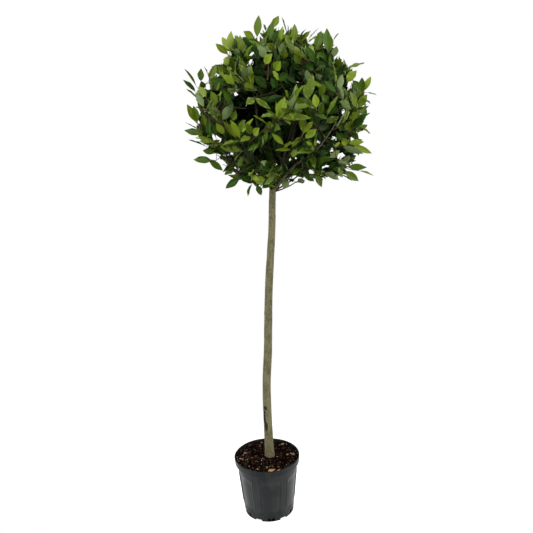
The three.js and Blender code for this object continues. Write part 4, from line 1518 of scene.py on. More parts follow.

# Tip, root, how it lies and its age, and where they are told, its share of the way and its breadth
# The age of each seen leaf was matched to how light or dark it is seen, so its colour is partly its age and
# partly painted light and shade
SEEN_LEAF_ROWS = (
    ((258.7, 15), (257, 36.8), UPPER, GREEN, 0.1),
    ((278.8, 15.7), (272.5, 28), UPPER, FRESH),
    ((281.8, 16.7), (287, 34), EDGE, MATURE),
    ((270.4, 21), (270, 40), UPPER, MATURE, 0.2),
    ((263.7, 24.4), (267, 33), EDGE, MATURE),
    ((230.9, 30.8), (229.6, 50.2), UNDER, YOUNG, 0.1),
    ((222.9, 36.5), (229, 50), UNDER, YOUNG, 0.1),
    ((215.5, 43.5), (228, 54.2), UPPER, FRESH),
    ((240.6, 35.1), (243.3, 52.9), UPPER, FRESH, 0.3),
    ((243.3, 31.4), (254, 38), UPPER, FRESH, 0.1),
    ((201.4, 68.6), (200.8, 81), UPPER, MATURE, 0.1),
    ((205.5, 66.3), (208.8, 77), EDGE, DEEP),
    ((216, 63.6), (210, 80), UPPER, FRESH, 0.1),
    ((184.4, 68.3), (196, 85.7), EDGE, MATURE),
    ((183.3, 79), (195.4, 91.7), HALF, DEEP),
    ((186.7, 87.7), (197.4, 99), EDGE, MATURE),
    ((187.4, 103.7), (196.7, 122.5), UPPER, FRESH, 0.1),
    ((193.8, 105.3), (197.5, 122), UPPER, GREEN),
    ((186, 121.5), (198, 129.8), EDGE, MATURE),
    ((184, 130.5), (202, 133.5), UPPER, MATURE, 0.1),
    ((188, 138.5), (205, 146), EDGE, DEEP),
    ((193, 158.3), (212, 161), UPPER, MATURE, 0.1),
    ((202.8, 150.6), (214, 152), UPPER, MATURE),
    ((222.9, 170.7), (209, 160), UPPER, MATURE, 0.15),
    ((225.5, 188.8), (239.6, 178), UPPER, DEEP, 0.2, 0.44),
    ((247, 196.1), (252, 184), EDGE, DEEP, 0.1),
    ((261.4, 195.5), (257, 185), UPPER, MATURE, 0.2),
    ((294.3, 23.6), (294.3, 43), UPPER, FRESH, 0.1),
    ((304.6, 28.3), (299, 40), EDGE, MATURE),
    ((310.5, 29.8), (300, 43), HALF, FRESH),
    ((318.6, 27.2), (308.3, 39.3), EDGE, MATURE),
    ((326.3, 28), (327.4, 51), UPPER, MATURE, 0.1),
    ((321.5, 30.5), (316, 50), UPPER, MATURE, 0.1),
    ((338.4, 32.4), (333.2, 40.8), EDGE, FRESH),
    ((336.2, 45.6), (334, 57), UNDER, GREEN),
    ((364.4, 62.5), (347.9, 68), HALF, GREEN),
    ((356.7, 70), (347, 82), UPPER, YOUNG, 0.3, 0.56),
    ((362.6, 77), (362, 92), UPPER, MATURE),
    ((370.7, 75.7), (363.5, 91.4), UPPER, YOUNG, 0.0, 0.36),
    ((377.3, 94.4), (366, 92.5), EDGE, MATURE),
    ((349.4, 90.7), (356.7, 107.6), UPPER, FRESH, 0.3, 0.46),
    ((366.5, 94), (359, 108), UPPER, YOUNG, 0.4, 0.5),
    ((370.7, 103.2), (362, 98), EDGE, MATURE),
    ((367.7, 124.7), (355.2, 131), UPPER, GREEN),
    ((370.7, 133.1), (361, 127), EDGE, FRESH),
    ((364, 141.2), (348.6, 143.4), UPPER, YOUNG, 0.2),
    ((372.1, 153.7), (353, 145.3), UPPER, YOUNG, 0.0, 0.3),
    ((363.3, 153.7), (342.8, 147), UNDER, GREEN, 0.1, 0.34),
    ((367, 167.6), (348, 167), UPPER, MATURE),
    ((373.6, 175), (360, 171), EDGE, YOUNG),
    ((359.6, 180.8), (344.2, 171.3), UPPER, GREEN),
    ((339.1, 179.4), (325.9, 172), UNDER, GREEN, 0.1),
    ((322.2, 187.4), (315.6, 172.8), UPPER, GREEN, 0.1),
    ((309, 180.8), (303, 166), UPPER, DEEP, 0.15),
    ((283, 188), (288, 179), UNDER, GREEN, 0.2, 0.54),
    ((222.9, 74.3), (234.3, 84.3), UPPER, YOUNG, 0.7, 0.46),
    ((272, 53.5), (264.7, 64.2), UPPER, YOUNG, 0.8, 0.46),
    ((280.5, 61), (275, 70.3), UPPER, YOUNG, 0.85, 0.5),
    ((272.4, 71.6), (279, 79), HALF, YOUNG, 0.85),
    ((257.7, 44.8), (266.4, 58.2), UNDER, GREEN, 0.7, 0.46),
    ((283, 41.5), (281, 55.5), UNDER, GREEN, 0.75),
    ((267.7, 87.7), (254.3, 76.3), UPPER, DEEP, 0.6, 0.5),
    ((266.4, 43.5), (275, 50), UPPER, FRESH, 0.6),
    ((246.3, 103.8), (254.3, 98.4), UPPER, GREEN, 0.85),
    ((270.4, 109.8), (255, 98), UPPER, GREEN, 0.9, 0.34),
    ((232.9, 103.7), (222.9, 119.8), UNDER, GREEN, 0.75, 0.54),
    ((229.6, 119.8), (240.3, 138.5), UPPER, YOUNG, 0.88, 0.35),
    ((223.5, 120.5), (236.3, 137.9), UPPER, FRESH, 0.8, 0.34),
    ((216.5, 123.1), (224.2, 134.5), UPPER, YOUNG, 0.6),
    ((252.3, 117.8), (242.3, 132.5), HALF, YOUNG, 0.9),
    ((259, 128.5), (253.7, 135.2), UPPER, YOUNG, 0.9),
    ((253.7, 114.4), (267.7, 124.5), EDGE, FRESH, 0.95),
    ((260.4, 115.8), (273.8, 115.1), HALF, GREEN, 0.95),
    ((271.8, 133.2), (283.5, 144.6), UPPER, FRESH, 0.95, 0.3),
    ((284.4, 96.8), (279, 118.5), UPPER, YOUNG, 0.95, 0.54),
    ((312, 115.9), (279.7, 117), UPPER, GREEN, 0.95, 0.25),
    ((290, 124), (283, 118), HALF, FRESH, 0.9),
    ((303.2, 114), (302.8, 131.7), UPPER, FRESH, 0.9, 0.44),
    ((312, 120.3), (303.2, 133.9), HALF, YOUNG, 0.95),
    ((316.4, 128.7), (305.4, 138.3), UPPER, YOUNG, 0.95),
    ((292.9, 142.7), (284, 146.4), HALF, YOUNG, 0.95),
    ((275.3, 149.3), (290, 149.7), HALF, YOUNG, 0.95),
    ((297.3, 151.9), (290.7, 154.4), UPPER, YOUNG, 0.95),
    ((301.7, 135.4), (291.4, 147.8), HALF, FRESH, 0.9),
    ((312, 73.8), (309, 98), UPPER, GREEN, 0.85),
    ((305, 84.1), (308.3, 99.5), UPPER, GREEN, 0.85),
    ((314.9, 93.6), (316.4, 107.6), UPPER, YOUNG, 0.9),
    ((333.2, 62.1), (335.4, 84.1), EDGE, YOUNG, 0.6),
    ((342, 73.8), (339, 90), UNDER, GREEN, 0.5),
    ((324.4, 79.7), (336.2, 92.9), HALF, DEEP, 0.7),
    ((317.8, 73.1), (319.3, 80.5), UNDER, GREEN, 0.7),
    ((299.5, 97.3), (315.6, 108.3), UPPER, GREEN, 0.88, 0.4),
    ((337.6, 95.7), (327.4, 114.8), HALF, FRESH, 0.85, 0.3),
    ((314.2, 114.1), (327.4, 119.2), HALF, MATURE, 0.9),
    ((349.4, 121.4), (347.9, 131), UPPER, YOUNG, 0.5, 0.5),
    ((358.9, 111.9), (349.4, 119.2), UPPER, YOUNG, 0.3),
    ((236.8, 37), (240.5, 50.5), UPPER, YOUNG, 0.25),
    ((225, 66), (229.5, 56), UNDER, YOUNG, 0.2),
    ((229.9, 58), (234.3, 69.3), UPPER, GREEN, 0.55),
    ((208.6, 79), (227.4, 85.5), UPPER, DEEP, 0.3),
    ((201.4, 81.8), (203.6, 89.3), UPPER, FRESH, 0.2),
    ((198.6, 86), (206, 96.8), UNDER, YOUNG, 0.3),
    ((196.1, 93), (203.6, 106.8), UNDER, GREEN, 0.25),
    ((210.8, 91), (216.8, 104), UPPER, FRESH, 0.5),
    ((221, 90), (220.3, 101), EDGE, YOUNG, 0.6),
    ((278, 29.9), (273, 43), UNDER, MATURE, 0.3),
    ((285.8, 48.6), (283.6, 58.6), UPPER, FRESH, 0.7),
    ((286.8, 60.5), (283.6, 69.3), UNDER, MATURE, 0.8),
    ((288, 73), (278, 80.5), UPPER, DEEP, 0.7),
    ((271, 78), (276.8, 88), UPPER, DEEP, 0.6),
    ((243.6, 89.3), (258, 90.5), HALF, MATURE, 0.7),
    ((285.5, 90), (288.6, 98), EDGE, FRESH, 0.9),
    ((330.9, 34.9), (330, 51), UPPER, GREEN, 0.1),
    ((317.5, 51.8), (326.3, 60.5), UPPER, DEEP, 0.4),
    ((294.4, 55.5), (300.6, 63), UPPER, GREEN, 0.8),
    ((305, 61.8), (313.8, 70.5), UPPER, DEEP, 0.6),
    ((324.4, 66.8), (328.8, 79.3), UNDER, MATURE, 0.6),
    ((307.5, 69.3), (308.8, 81.8), UNDER, GREEN, 0.75),
    ((324.4, 84.3), (320, 95.5), UPPER, GREEN, 0.8),
    ((341.3, 59.3), (337.5, 66.8), UPPER, GREEN, 0.3),
    ((353, 80.5), (360, 89.3), UPPER, MATURE, 0.2),
    ((338.8, 85.5), (342.5, 100.5), UNDER, GREEN, 0.5, 0.34),
    ((321.3, 94.3), (328.8, 103), UPPER, MATURE, 0.7),
    ((202.4, 113.3), (206, 128), UPPER, FRESH, 0.35, 0.34),
    ((208.6, 117), (209.9, 138), UPPER, DEEP, 0.4),
    ((211.8, 122.6), (215.5, 135.8), UPPER, DEEP, 0.5),
    ((234.9, 111.4), (232.4, 119.5), UPPER, GREEN, 0.75),
    ((243.6, 119.5), (241, 132), UPPER, GREEN, 0.85),
    ((248, 123.3), (250.5, 134.5), UPPER, GREEN, 0.85),
    ((219.3, 139.5), (211.8, 147), UPPER, GREEN, 0.3),
    ((243, 154.5), (238, 168.3), HALF, MATURE, 0.7),
    ((258, 163.3), (243, 170.8), UPPER, OLD, 0.8),
    ((253, 182), (239.3, 177), UPPER, DEEP, 0.3),
    ((224.5, 173.9), (233, 170.8), HALF, GREEN, 0.1),
    ((338.8, 115.8), (326.3, 123), UPPER, GREEN, 0.7),
    ((336.9, 132), (342.5, 139.5), UPPER, DEEP, 0.3),
    ((339.4, 150), (330, 158), UNDER, GREEN, 0.2),
    ((348.8, 154.5), (345, 163), UNDER, GREEN, 0.1),
    ((327.5, 167.6), (341.3, 163.3), UPPER, DEEP, 0.3),
    ((337.5, 160.8), (347.5, 164.5), UNDER, GREEN, 0.1),
    ((353, 180.8), (341.3, 174.5), EDGE, DEEP, 0.1),
    ((293, 182), (289.4, 178.9), HALF, DEEP, 0.15),
    ((305, 179.5), (297.5, 182), UNDER, GREEN, 0.1),
    ((343, 138), (346.3, 145.8), UPPER, YOUNG, 0.15),
    ((356.9, 134.8), (348.8, 133.9), EDGE, DEEP, 0.1),
)
SEEN_LEAVES = tuple(SeenLeaf(*row) for row in SEEN_LEAF_ROWS)


@dataclass(frozen=True)
class SeenTwig:
    """A twig that can be told apart in the picture.

    It holds its pixels from the foot on, the share of the way to the front of the crown at both ends, its
    radius at the foot, its wood, and whether it grows from the trunk itself.
    """

    pixels: tuple[Pixel, ...]
    front: Span
    radius: float
    wood: Wood
    from_trunk: bool = False


SEEN_TWIGS = (
    SeenTwig(((250, 141.5), (259.3, 134.2), (267.4, 126.2), (277, 118)), (0.8, 0.94), 0.0024, Wood.YOUNG),
    SeenTwig(
        ((256.7, 164.3), (250, 153.6), (239.3, 146.9), (227.2, 132.2), (221.2, 118.8), (221.2, 98.7)),
        (0.7, 0.8),
        0.0026,
        Wood.OLD,
    ),
    SeenTwig(
        ((275.5, 189.5), (282.5, 178.5), (295.5, 164.3), (316.9, 149.6), (330.3, 132.2), (339, 116.1)),
        (0.02, 0.45),
        0.006,
        Wood.LIMB,
        from_trunk=True,
    ),
    SeenTwig(
        ((275.5, 191.3), (282, 189.3), (289.5, 186), (294, 183.2), (298.3, 181), (306, 175)),
        (0.02, 0.1),
        0.0023,
        Wood.OLD,
        from_trunk=True,
    ),
    SeenTwig(((267.4, 80), (268.2, 72), (268.7, 63.9)), (0.7, 0.8), 0.0022, Wood.YOUNG),
    SeenTwig(((284.8, 163), (291.5, 150.9), (303.5, 132.2)), (0.7, 0.92), 0.0024, Wood.OLD),
    SeenTwig(((212, 135), (210.5, 122.8), (203.8, 110.8)), (0.4, 0.3), 0.0022, Wood.YOUNG),
    SeenTwig(((232.6, 164.3), (224.5, 152), (214, 146)), (0.3, 0.2), 0.0024, Wood.OLD),
)

# Spots where the sky shows through the crown: pixels across and down, and radius
SKY_SPOTS = (
    (259.3, 39.3, 2.2), (251.5, 53.5, 2.4), (254.0, 60.5, 1.6), (248.2, 66.5, 1.4), (229.0, 53.6, 1.2),
    (206.6, 83.0, 2.2), (206.8, 88.5, 1.6), (218.0, 75.5, 1.6), (236.0, 94.3, 1.8), (310.5, 36.5, 1.8),
    (310.8, 43.5, 1.8), (323.8, 45.5, 1.2), (303.0, 62.4, 0.8), (298.4, 81.0, 0.8), (349.4, 86.0, 2.2),
    (284.8, 29.0, 1.4), (214.3, 135.8, 2.2), (219.3, 139.5, 1.8), (232.4, 153.3, 1.4), (217.0, 158.0, 2.2),
    (223.6, 164.5, 2.2), (235.5, 168.3, 1.6), (256.8, 173.9, 1.4), (276.5, 164.0, 1.2), (343.8, 111.4, 1.8),
    (334.0, 138.5, 1.8), (318.1, 142.0, 1.0), (325.0, 145.8, 0.6), (341.3, 155.8, 2.2), (332.0, 150.0, 1.0),
    (290.0, 160.8, 1.2), (295.6, 158.3, 0.9), (325.0, 166.4, 1.4), (311.3, 170.8, 1.8), (296.0, 177.6, 1.8),
    (348.0, 170.0, 1.4),
)

# The outline of the other leaves: pixels across and down, from the top and round by the right
OUTLINE = (
    (270, 22), (280, 27), (294, 24), (302, 34), (312, 32), (326, 28), (335, 41), (337, 54), (348, 61),
    (357, 70), (361, 80), (369, 90), (368, 104), (366, 115), (363, 126), (362, 137), (359, 147), (360, 156),
    (354, 166), (345, 178), (330, 177), (321, 182), (309, 180), (298, 175), (288, 178), (278, 187),
    (266, 189), (253, 188), (246, 183), (236, 180), (226, 175), (214, 165), (205, 153), (197, 142),
    (193, 129), (198, 116), (193, 104), (196, 92), (196, 79), (204, 78), (209, 66), (222, 63), (224, 55),
    (222, 42), (232, 35), (244, 34), (254, 34), (263, 26),
)


@dataclass(frozen=True)
class Hollow:
    """A dark hollow of the crown: its middle and half axes in pixels, and the Y that it reaches back to."""

    middle: Pixel
    half: Pixel
    depth: float


HOLLOWS = (
    Hollow((249.0, 110.0), (16.0, 20.0), -0.06),
    Hollow((289.0, 131.0), (14.0, 10.0), -0.1),
    Hollow((262.0, 66.5), (12.0, 6.5), -0.09),
    Hollow((300.0, 77.0), (9.0, 6.0), -0.12),
    Hollow((273.0, 153.0), (17.0, 11.0), -0.1),
    Hollow((275.0, 91.0), (19.0, 6.0), -0.1),
)


@dataclass
class Silhouette:
    """What the picture says about where leaves may be: inside its outline, clear of sky and seen leaves."""

    view: Viewpoint
    middle: Array
    margin: float = 1.0
    clear_pixels: float = 2.2
    clear_depth: float = 0.018
    width_shares: tuple[float, ...] = (0.15, 0.65, 0.85, 0.65, 0.15)

    def __post_init__(self) -> None:
        """Turns the outline into a reach for every angle round the middle of the crown."""
        self._centre = self.view.picture(self.middle)
        edge = np.array(OUTLINE) - self._centre
        angle, radius = np.arctan2(edge[:, 1], edge[:, 0]), np.hypot(*edge.T)
        order = np.argsort(angle)
        self._angle, self._radius = angle[order], radius[order]
        self._shares = np.array(self.width_shares)[:, None]
        self._spots = np.array(SKY_SPOTS)
        self._kept = np.zeros((0, 3))

    def keep_clear(self, points: Array) -> None:
        """Keeps later leaves from standing before these points of a seen leaf or twig."""
        pixels = self.view.picture(points)
        self._kept = np.concatenate([self._kept, np.concatenate([pixels, points[:, 1:2]], 1)])

    def allows(self, points: Array, half_width: float) -> bool:
        """Tells whether a leaf may lie along these points.

        Args:
            points: Places along its middle line, one for each share of the width.
            half_width: Half of its greatest width.

        Returns:
            Whether it may.
        """
        pixels = self.view.picture(points)
        widths = half_width * self.view.focal / -self.view.place[1] * self._shares
        off = pixels - self._centre
        limit = np.interp(np.arctan2(off[:, 1], off[:, 0]), self._angle, self._radius, period=FULL_TURN)
        if np.any(np.hypot(off[:, 0], off[:, 1]) > limit - self.margin):
            return False
        apart = np.linalg.norm(pixels[:, None] - self._spots[None, :, :2], axis=-1)
        if np.any(apart < self._spots[:, 2] + widths):
            return False
        for hollow in HOLLOWS:
            inside = np.linalg.norm((pixels - hollow.middle) / hollow.half, axis=1) < 1
            if np.any(inside & (points[:, 1] < hollow.depth)):
                return False
        apart = np.linalg.norm(pixels[:, None] - self._kept[None, :, :2], axis=-1)
        before = points[:, None, 1] < self._kept[None, :, 2] + self.clear_depth
        return not np.any(before & (apart < self.clear_pixels + widths))


@dataclass(frozen=True)
class Bud:
    """The place that a leaf grows from: on the shoot, the shoot's direction there and what comes of it."""

    stem: Array
    way: Array
    away: Array
    lean: float
    spread: float
    turn: float
    length: float
    shade: Shade


@dataclass(frozen=True)
class Habit:
    """How leaves sit on a shoot; angles are in degrees and lengths in metres."""

    stalk: float = 0.007
    outermost: float = 0.995
    innermost: float = 0.2
    upright_from: float = 0.1
    upright_span: float = 0.9
    spread: float = 20
    spread_upright: float = 6
    inner_spread: float = 48
    inner_spread_upright: float = 14
    spread_power: float = 0.6
    spread_stray: float = 6
    length: Span = (0.052, 0.073)
    tip_length: float = 0.62
    length_gain: float = 0.38
    length_rate: float = 2.5
    length_stray: float = 0.35
    breadth: Span = (0.28, 0.37)
    bend: Span = (0.22, 0.22)
    fold: Span = (0.08, 0.4)
    wave: Span = (0.0003, 0.0015)
    twist: float = 0.2
    swing: float = 0.1
    ageing: float = 2.3
    younger: float = 0.15
    rise: float = 0.04
    rise_upright: float = 0.7
    outward: float = 0.22
    face_up: float = 0.5
    face_outward: float = 0.4
    face_stray: float = 0.38
    shrinks: tuple[float, ...] = (1.0, 0.84)
    turns: tuple[float, ...] = (0.0, 0.55, -0.55, 1.2, -1.2, 2.4)
    most_room: float = 0.05
    enough_room: float = 0.022
    least_room: float = 0.0055
    shaded_from: float = 0.04
    shaded_step: float = 0.035
    shaded_stray: Span = (0.7, 1.3)


@dataclass
class Crown:
    """The boughs, twigs and leaves, grown by the rule of the solids."""

    trunk: Trunk
    view: Viewpoint
    rng: np.random.Generator
    habit: Habit = Habit()
    centre: Place = (0.087, 0.0, 1.337)
    spring: Place = (0.065, 0.0, 1.15)
    foot: float = 1.076
    heart_share: float = 0.57
    sharpness: float = 9
    front_radius: float = 0.235

    bough_share: float = 0.7
    bough_bend: float = 0.45
    bough_sag: float = 0.2
    bough_rings: int = 20
    bough_sides: int = 14
    bough_tip: float = 0.0029
    bough_tip_share: float = 0.7
    bough_flare: float = 0.45
    bough_flare_length: float = 0.014
    bough_relief: float = 0.0004
    bough_wave: float = 0.006
    bough_stagger: float = 0.003
    bough_seed: int = 31

    stem_rings: int = 6
    stem_sides: int = 8
    twig_radius: float = 0.0023
    twig_tip: float = 0.0009
    twig_rings: int = 10
    twig_sides: int = 6
    twig_sag: float = 0.16
    twig_stray: float = 0.05
    fork_rings: tuple[int, ...] = (4, 7)
    fork_shares: tuple[float, ...] = (0.6, 0.35)
    stalk_radii: tuple[float, ...] = (0.0009, 0.0007, 0.0006)
    stalk_sag: float = 0.001
    stalk_hold: float = 0.003
    stalk_sides: int = 3
    stalk_most: float = 0.00095
    young_span: float = 0.03

    samples: tuple[float, ...] = (0.0, 0.28, 0.52, 0.76, 1.0)
    least_leaf: float = 0.036
    least_breadth_length: float = 0.05
    seen_stalk: float = 0.006
    seen_drop: float = 0.001
    seen_bend: Span = (0.02, 0.2)
    seen_swing: float = 0.05
    seen_shares: tuple[float, float, int] = (0.1, 1, 5)
    trunk_clearance: float = 0.02
    trunk_clear_below: float = 1.13
    scatter_power: float = 1.5
    low_from: float = 1.29
    low_span: float = 0.14
    low_age_and_shade: Span = (0.5, 1.3)

    twig_sharp_from: float = 70
    leaf_sharp_from: float = 48
    bough_sharp_from: float = 60

    def __post_init__(self) -> None:
        """Lays out the masses and their boughs, with nothing grown on them yet."""
        self._middle, self._spring = np.array(self.centre), np.array(self.spring)
        self._picture = Silhouette(self.view, self._middle)
        self._ways = np.array([mass.way() for mass in MASSES])
        self._reaches = np.array([mass.reach for mass in MASSES])
        self._hearts = self._middle + self._ways * (self.heart_share * self._reaches)[:, None]
        self._boughs = [self._bough(i) for i in range(len(MASSES))]
        self._limbs: list[list[Limb]] = [[] for _ in MASSES]
        self._leaves: list[list[Leaf]] = [[] for _ in MASSES]
        self._joints = [self._hearts[[i]] for i in range(len(MASSES))]
        self._joint_radii = [[self.twig_radius] for _ in MASSES]
        self._blades = np.zeros((0, 3))
        self._feet: list[tuple[int, Array]] = []

    def _bough(self, index: int) -> Array:
        """Lays the middle line of a bough.

        Args:
            index: Number of its mass.

        Returns:
            Its points, from the trunk on.
        """
        mass, heart = MASSES[index], self._hearts[index]
        start = self.trunk.middle(mass.fork_at)[0]
        end = start + (heart - start) * self.bough_share
        level = self._ways[index] * (1, 1, 0)
        bend = start + (end - start) * self.bough_bend + level * self.bough_sag * np.linalg.norm(end - start)
        return bezier(start, bend, end, self.bough_rings)

    def _reach(self, way: Array) -> float:
        """Finds how far the crown reaches from its middle.

        Args:
            way: The direction, as a unit vector.

        Returns:
            The reach.
        """
        weights = np.exp(self.sharpness * (self._ways @ way - 1))
        to_foot = (self.foot - self._middle[2]) / way[2] if way[2] < 0 else math.inf
        return min(float(weights @ self._reaches / weights.sum()), to_foot)

    def _nearest_mass(self, point: Array) -> int:
        """Returns the number of the mass whose heart is nearest to a point."""
        return int(np.argmin(np.linalg.norm(self._hearts - point, axis=1)))

    def _grow_limb(self, index: int, tip: Array, wood: Wood) -> Limb:
        """Grows a twig from the nearest joint of a mass.

        Args:
            index: Number of the mass.
            tip: Where the twig ends.
            wood: Its kind of wood.

        Returns:
            The twig, which brings new joints with it.
        """
        apart = np.linalg.norm(self._joints[index] - tip, axis=1)
        at = int(np.argmin(apart))
        start, span = self._joints[index][at], apart[at]
        away = unit(tip - self._spring)
        stray = self.rng.normal(size=3) * span * self.twig_stray
        bend = start + (tip - start) * 0.5 - away * span * self.twig_sag + stray
        path = bezier(start, bend, tip, self.twig_rings)
        first = self._joint_radii[index][at]
        limb = Limb(path, np.linspace(first, self.twig_tip, len(path)), wood)
        self._joints[index] = np.concatenate([self._joints[index], path[list(self.fork_rings)]])
        radii = [first * share + self.twig_tip * (1 - share) for share in self.fork_shares]
        self._joint_radii[index] += radii
        self._limbs[index].append(limb)
        return limb

    def _cut_limb(self, index: int) -> None:
        """Takes the last limb of a mass away again, where no leaf could grow on it.

        Args:
            index: Number of the mass.
        """
        forks = len(self.fork_rings)
        self._limbs[index].pop()
        self._joints[index] = self._joints[index][:-forks]
        self._joint_radii[index] = self._joint_radii[index][:-forks]

    def _blade(self, root: Array, way: Array, face: Array, length: float, shade: Shade) -> Leaf:
        """Draws the form of a leaf by chance.

        Args:
            root: Where its blade starts.
            way: Its direction.
            face: What its upper side faces.
            length: Length of its blade.
            shade: Its age.

        Returns:
            The leaf.
        """
        rng, habit = self.rng, self.habit
        return Leaf(
            root=root,
            way=way,
            face=face,
            length=length,
            width=length * rng.uniform(*habit.breadth),
            shade=shade,
            bend=rng.normal(*habit.bend),
            fold=rng.uniform(*habit.fold),
            wave=rng.uniform(*habit.wave),
            phase=rng.uniform(0, FULL_TURN),
            twist=rng.normal(0, habit.twist),
            swing=rng.normal(0, habit.swing),
        )

    def _add_leaf(self, index: int, leaf: Leaf, stem: Array) -> None:
        """Adds a leaf and its stalk.

        Args:
            index: Number of its mass.
            leaf: The leaf.
            stem: Where its stalk starts.
        """
        self._leaves[index].append(leaf)
        self._blades = np.concatenate([self._blades, leaf.middle()[None]])
        bend = (stem + leaf.root) / 2 - leaf.way * self.stalk_sag
        path = bezier(stem, bend, leaf.root + leaf.way * self.stalk_hold, len(self.stalk_radii))
        wood = Wood.STALK if leaf.shade in (Shade.YOUNG, Shade.FRESH) else Wood.YOUNG
        self._limbs[index].append(Limb(path, np.array(self.stalk_radii), wood))

    def _depth(self, pixel: Pixel, front: float) -> float:
        """Finds how deep in the crown something lies.

        Args:
            pixel: Where it is seen.
            front: Its share of the way from the middle plane to the front of the crown.

        Returns:
            Its Y.
        """
        flat = self.view.on_plane(pixel, 0.0)
        aside = np.hypot(flat[0] - self._middle[0], flat[2] - self._middle[2])
        return -front * math.sqrt(max(self.front_radius**2 - aside**2, 0.0))

    def _add_seen_twig(self, told: SeenTwig) -> None:
        """Lays a seen twig through its pixels and keeps its foot to be joined.

        Args:
            told: What is seen of it.
        """
        fronts = np.linspace(*told.front, len(told.pixels))
        knots = [self.view.on_plane(p, self._depth(p, front)) for p, front in zip(told.pixels, fronts)]
        knots = np.array(knots)
        along = np.linspace(0, 1, len(knots))
        fine = np.linspace(0, 1, 4 * len(knots))
        path = np.stack([np.interp(fine, along, knots[:, axis]) for axis in range(3)], 1)
        path[1:-1] = (path[:-2] + path[1:-1] * 2 + path[2:]) / 4
        index = self._nearest_mass(path.mean(0))
        self._limbs[index].append(Limb(path, np.linspace(told.radius, self.twig_tip, len(path)), told.wood))
        if not told.from_trunk:
            self._feet.append((index, path[0]))
        self._picture.keep_clear(path[::2])

    def _add_seen_leaf(self, told: SeenLeaf) -> None:
        """Lays a seen leaf between the pixels of its root and its tip.

        Args:
            told: What is seen of it.
        """
        depth = self._depth(told.root, told.front)
        root = self.view.on_plane(told.root, depth)
        tip = self.view.on_plane(told.tip, depth)
        length = np.linalg.norm(tip - root)
        least = self.least_leaf
        if length < least:
            nearer = math.sqrt(least**2 - length**2)
            tip = self.view.on_plane(told.tip, depth - nearer)
            length = np.linalg.norm(tip - root)
        way = (tip - root) / length
        to_viewer = across_to(np.array(self.view.place) - root, way)
        turn = math.radians(told.side.value)
        beside = np.cross(way, to_viewer)
        options = [to_viewer * math.cos(turn) + sign * beside * math.sin(turn) for sign in (1, -1)]
        face = max(options, key=lambda option: option[2])
        width = told.breadth * max(length, self.least_breadth_length)
        bend, swing = self.rng.uniform(*self.seen_bend), self.rng.normal(0, self.seen_swing)
        leaf = replace(self._blade(root, way, face, length, told.shade), width=width, bend=bend, swing=swing)
        stem = root - way * self.seen_stalk - UP * self.seen_drop
        self._add_leaf(self._nearest_mass(root), leaf, stem)
        self._picture.keep_clear(root + way * length * np.linspace(*self.seen_shares)[:, None])

    def _join_seen(self) -> None:
        """Grows a twig to the foot of every seen twig and leaf."""
        for index, foot in self._feet:
            self._grow_limb(index, foot, Wood.OLD)
        for index, leaves in enumerate(self._leaves):
            for leaf in list(leaves):
                foot = leaf.root - leaf.way * self.seen_stalk - UP * self.seen_drop
                span = np.min(np.linalg.norm(self._joints[index] - foot, axis=1))
                self._grow_limb(index, foot, Wood.YOUNG if span < self.young_span else Wood.OLD)

    def _may_lie(self, leaf: Leaf, reach: float) -> bool:
        """Tells whether a leaf keeps to the crown, clear of the trunk and true to the picture.

        Args:
            leaf: The leaf.
            reach: How far the crown reaches in its direction.

        Returns:
            Whether it does.
        """
        tip, middle = leaf.tip(), leaf.middle()
        if np.linalg.norm(tip - self._middle) > reach or tip[2] < self.foot:
            return False
        trunk = self.trunk.middle(middle[2])[0]
        if np.linalg.norm((middle - trunk)[:2]) < self.trunk_clearance and middle[2] < self.trunk_clear_below:
            return False
        samples = np.array(self.samples)[:, None]
        return self._picture.allows(leaf.root + leaf.way * leaf.length * samples, leaf.width / 2)

    def _best_leaf(self, bud: Bud, reach: float) -> Leaf | None:
        """Tries a bud's leaf at several turns and two sizes.

        Args:
            bud: The bud.
            reach: How far the crown reaches there.

        Returns:
            The leaf that has the most room, or None where there is too little.
        """
        habit = self.habit
        right = across_to(level_for(bud.way), bud.way)
        other = np.cross(bud.way, right)
        best, score = None, -1.0
        for share, extra in itertools.product(habit.shrinks, habit.turns):
            angle = bud.turn + extra
            across = right * math.cos(angle) + other * math.sin(angle)
            way = bud.way * math.cos(bud.spread) + across * math.sin(bud.spread)
            way = unit(way + UP * (habit.rise + habit.rise_upright * bud.lean) + bud.away * habit.outward)
            stray = self.rng.normal(size=3) * habit.face_stray
            face = across_to(bud.way + UP * habit.face_up + bud.away * habit.face_outward + stray, way)
            leaf = self._blade(bud.stem + way * habit.stalk, way, face, bud.length * share, bud.shade)
            if not self._may_lie(leaf, reach):
                continue
            near = np.min(np.linalg.norm(self._blades - leaf.middle(), axis=1)) if len(self._blades) else 1.0
            room = min(near, habit.most_room) * share
            if room > score:
                best, score = leaf, room
            if score > habit.enough_room:
                break
        return best if score > habit.least_room else None

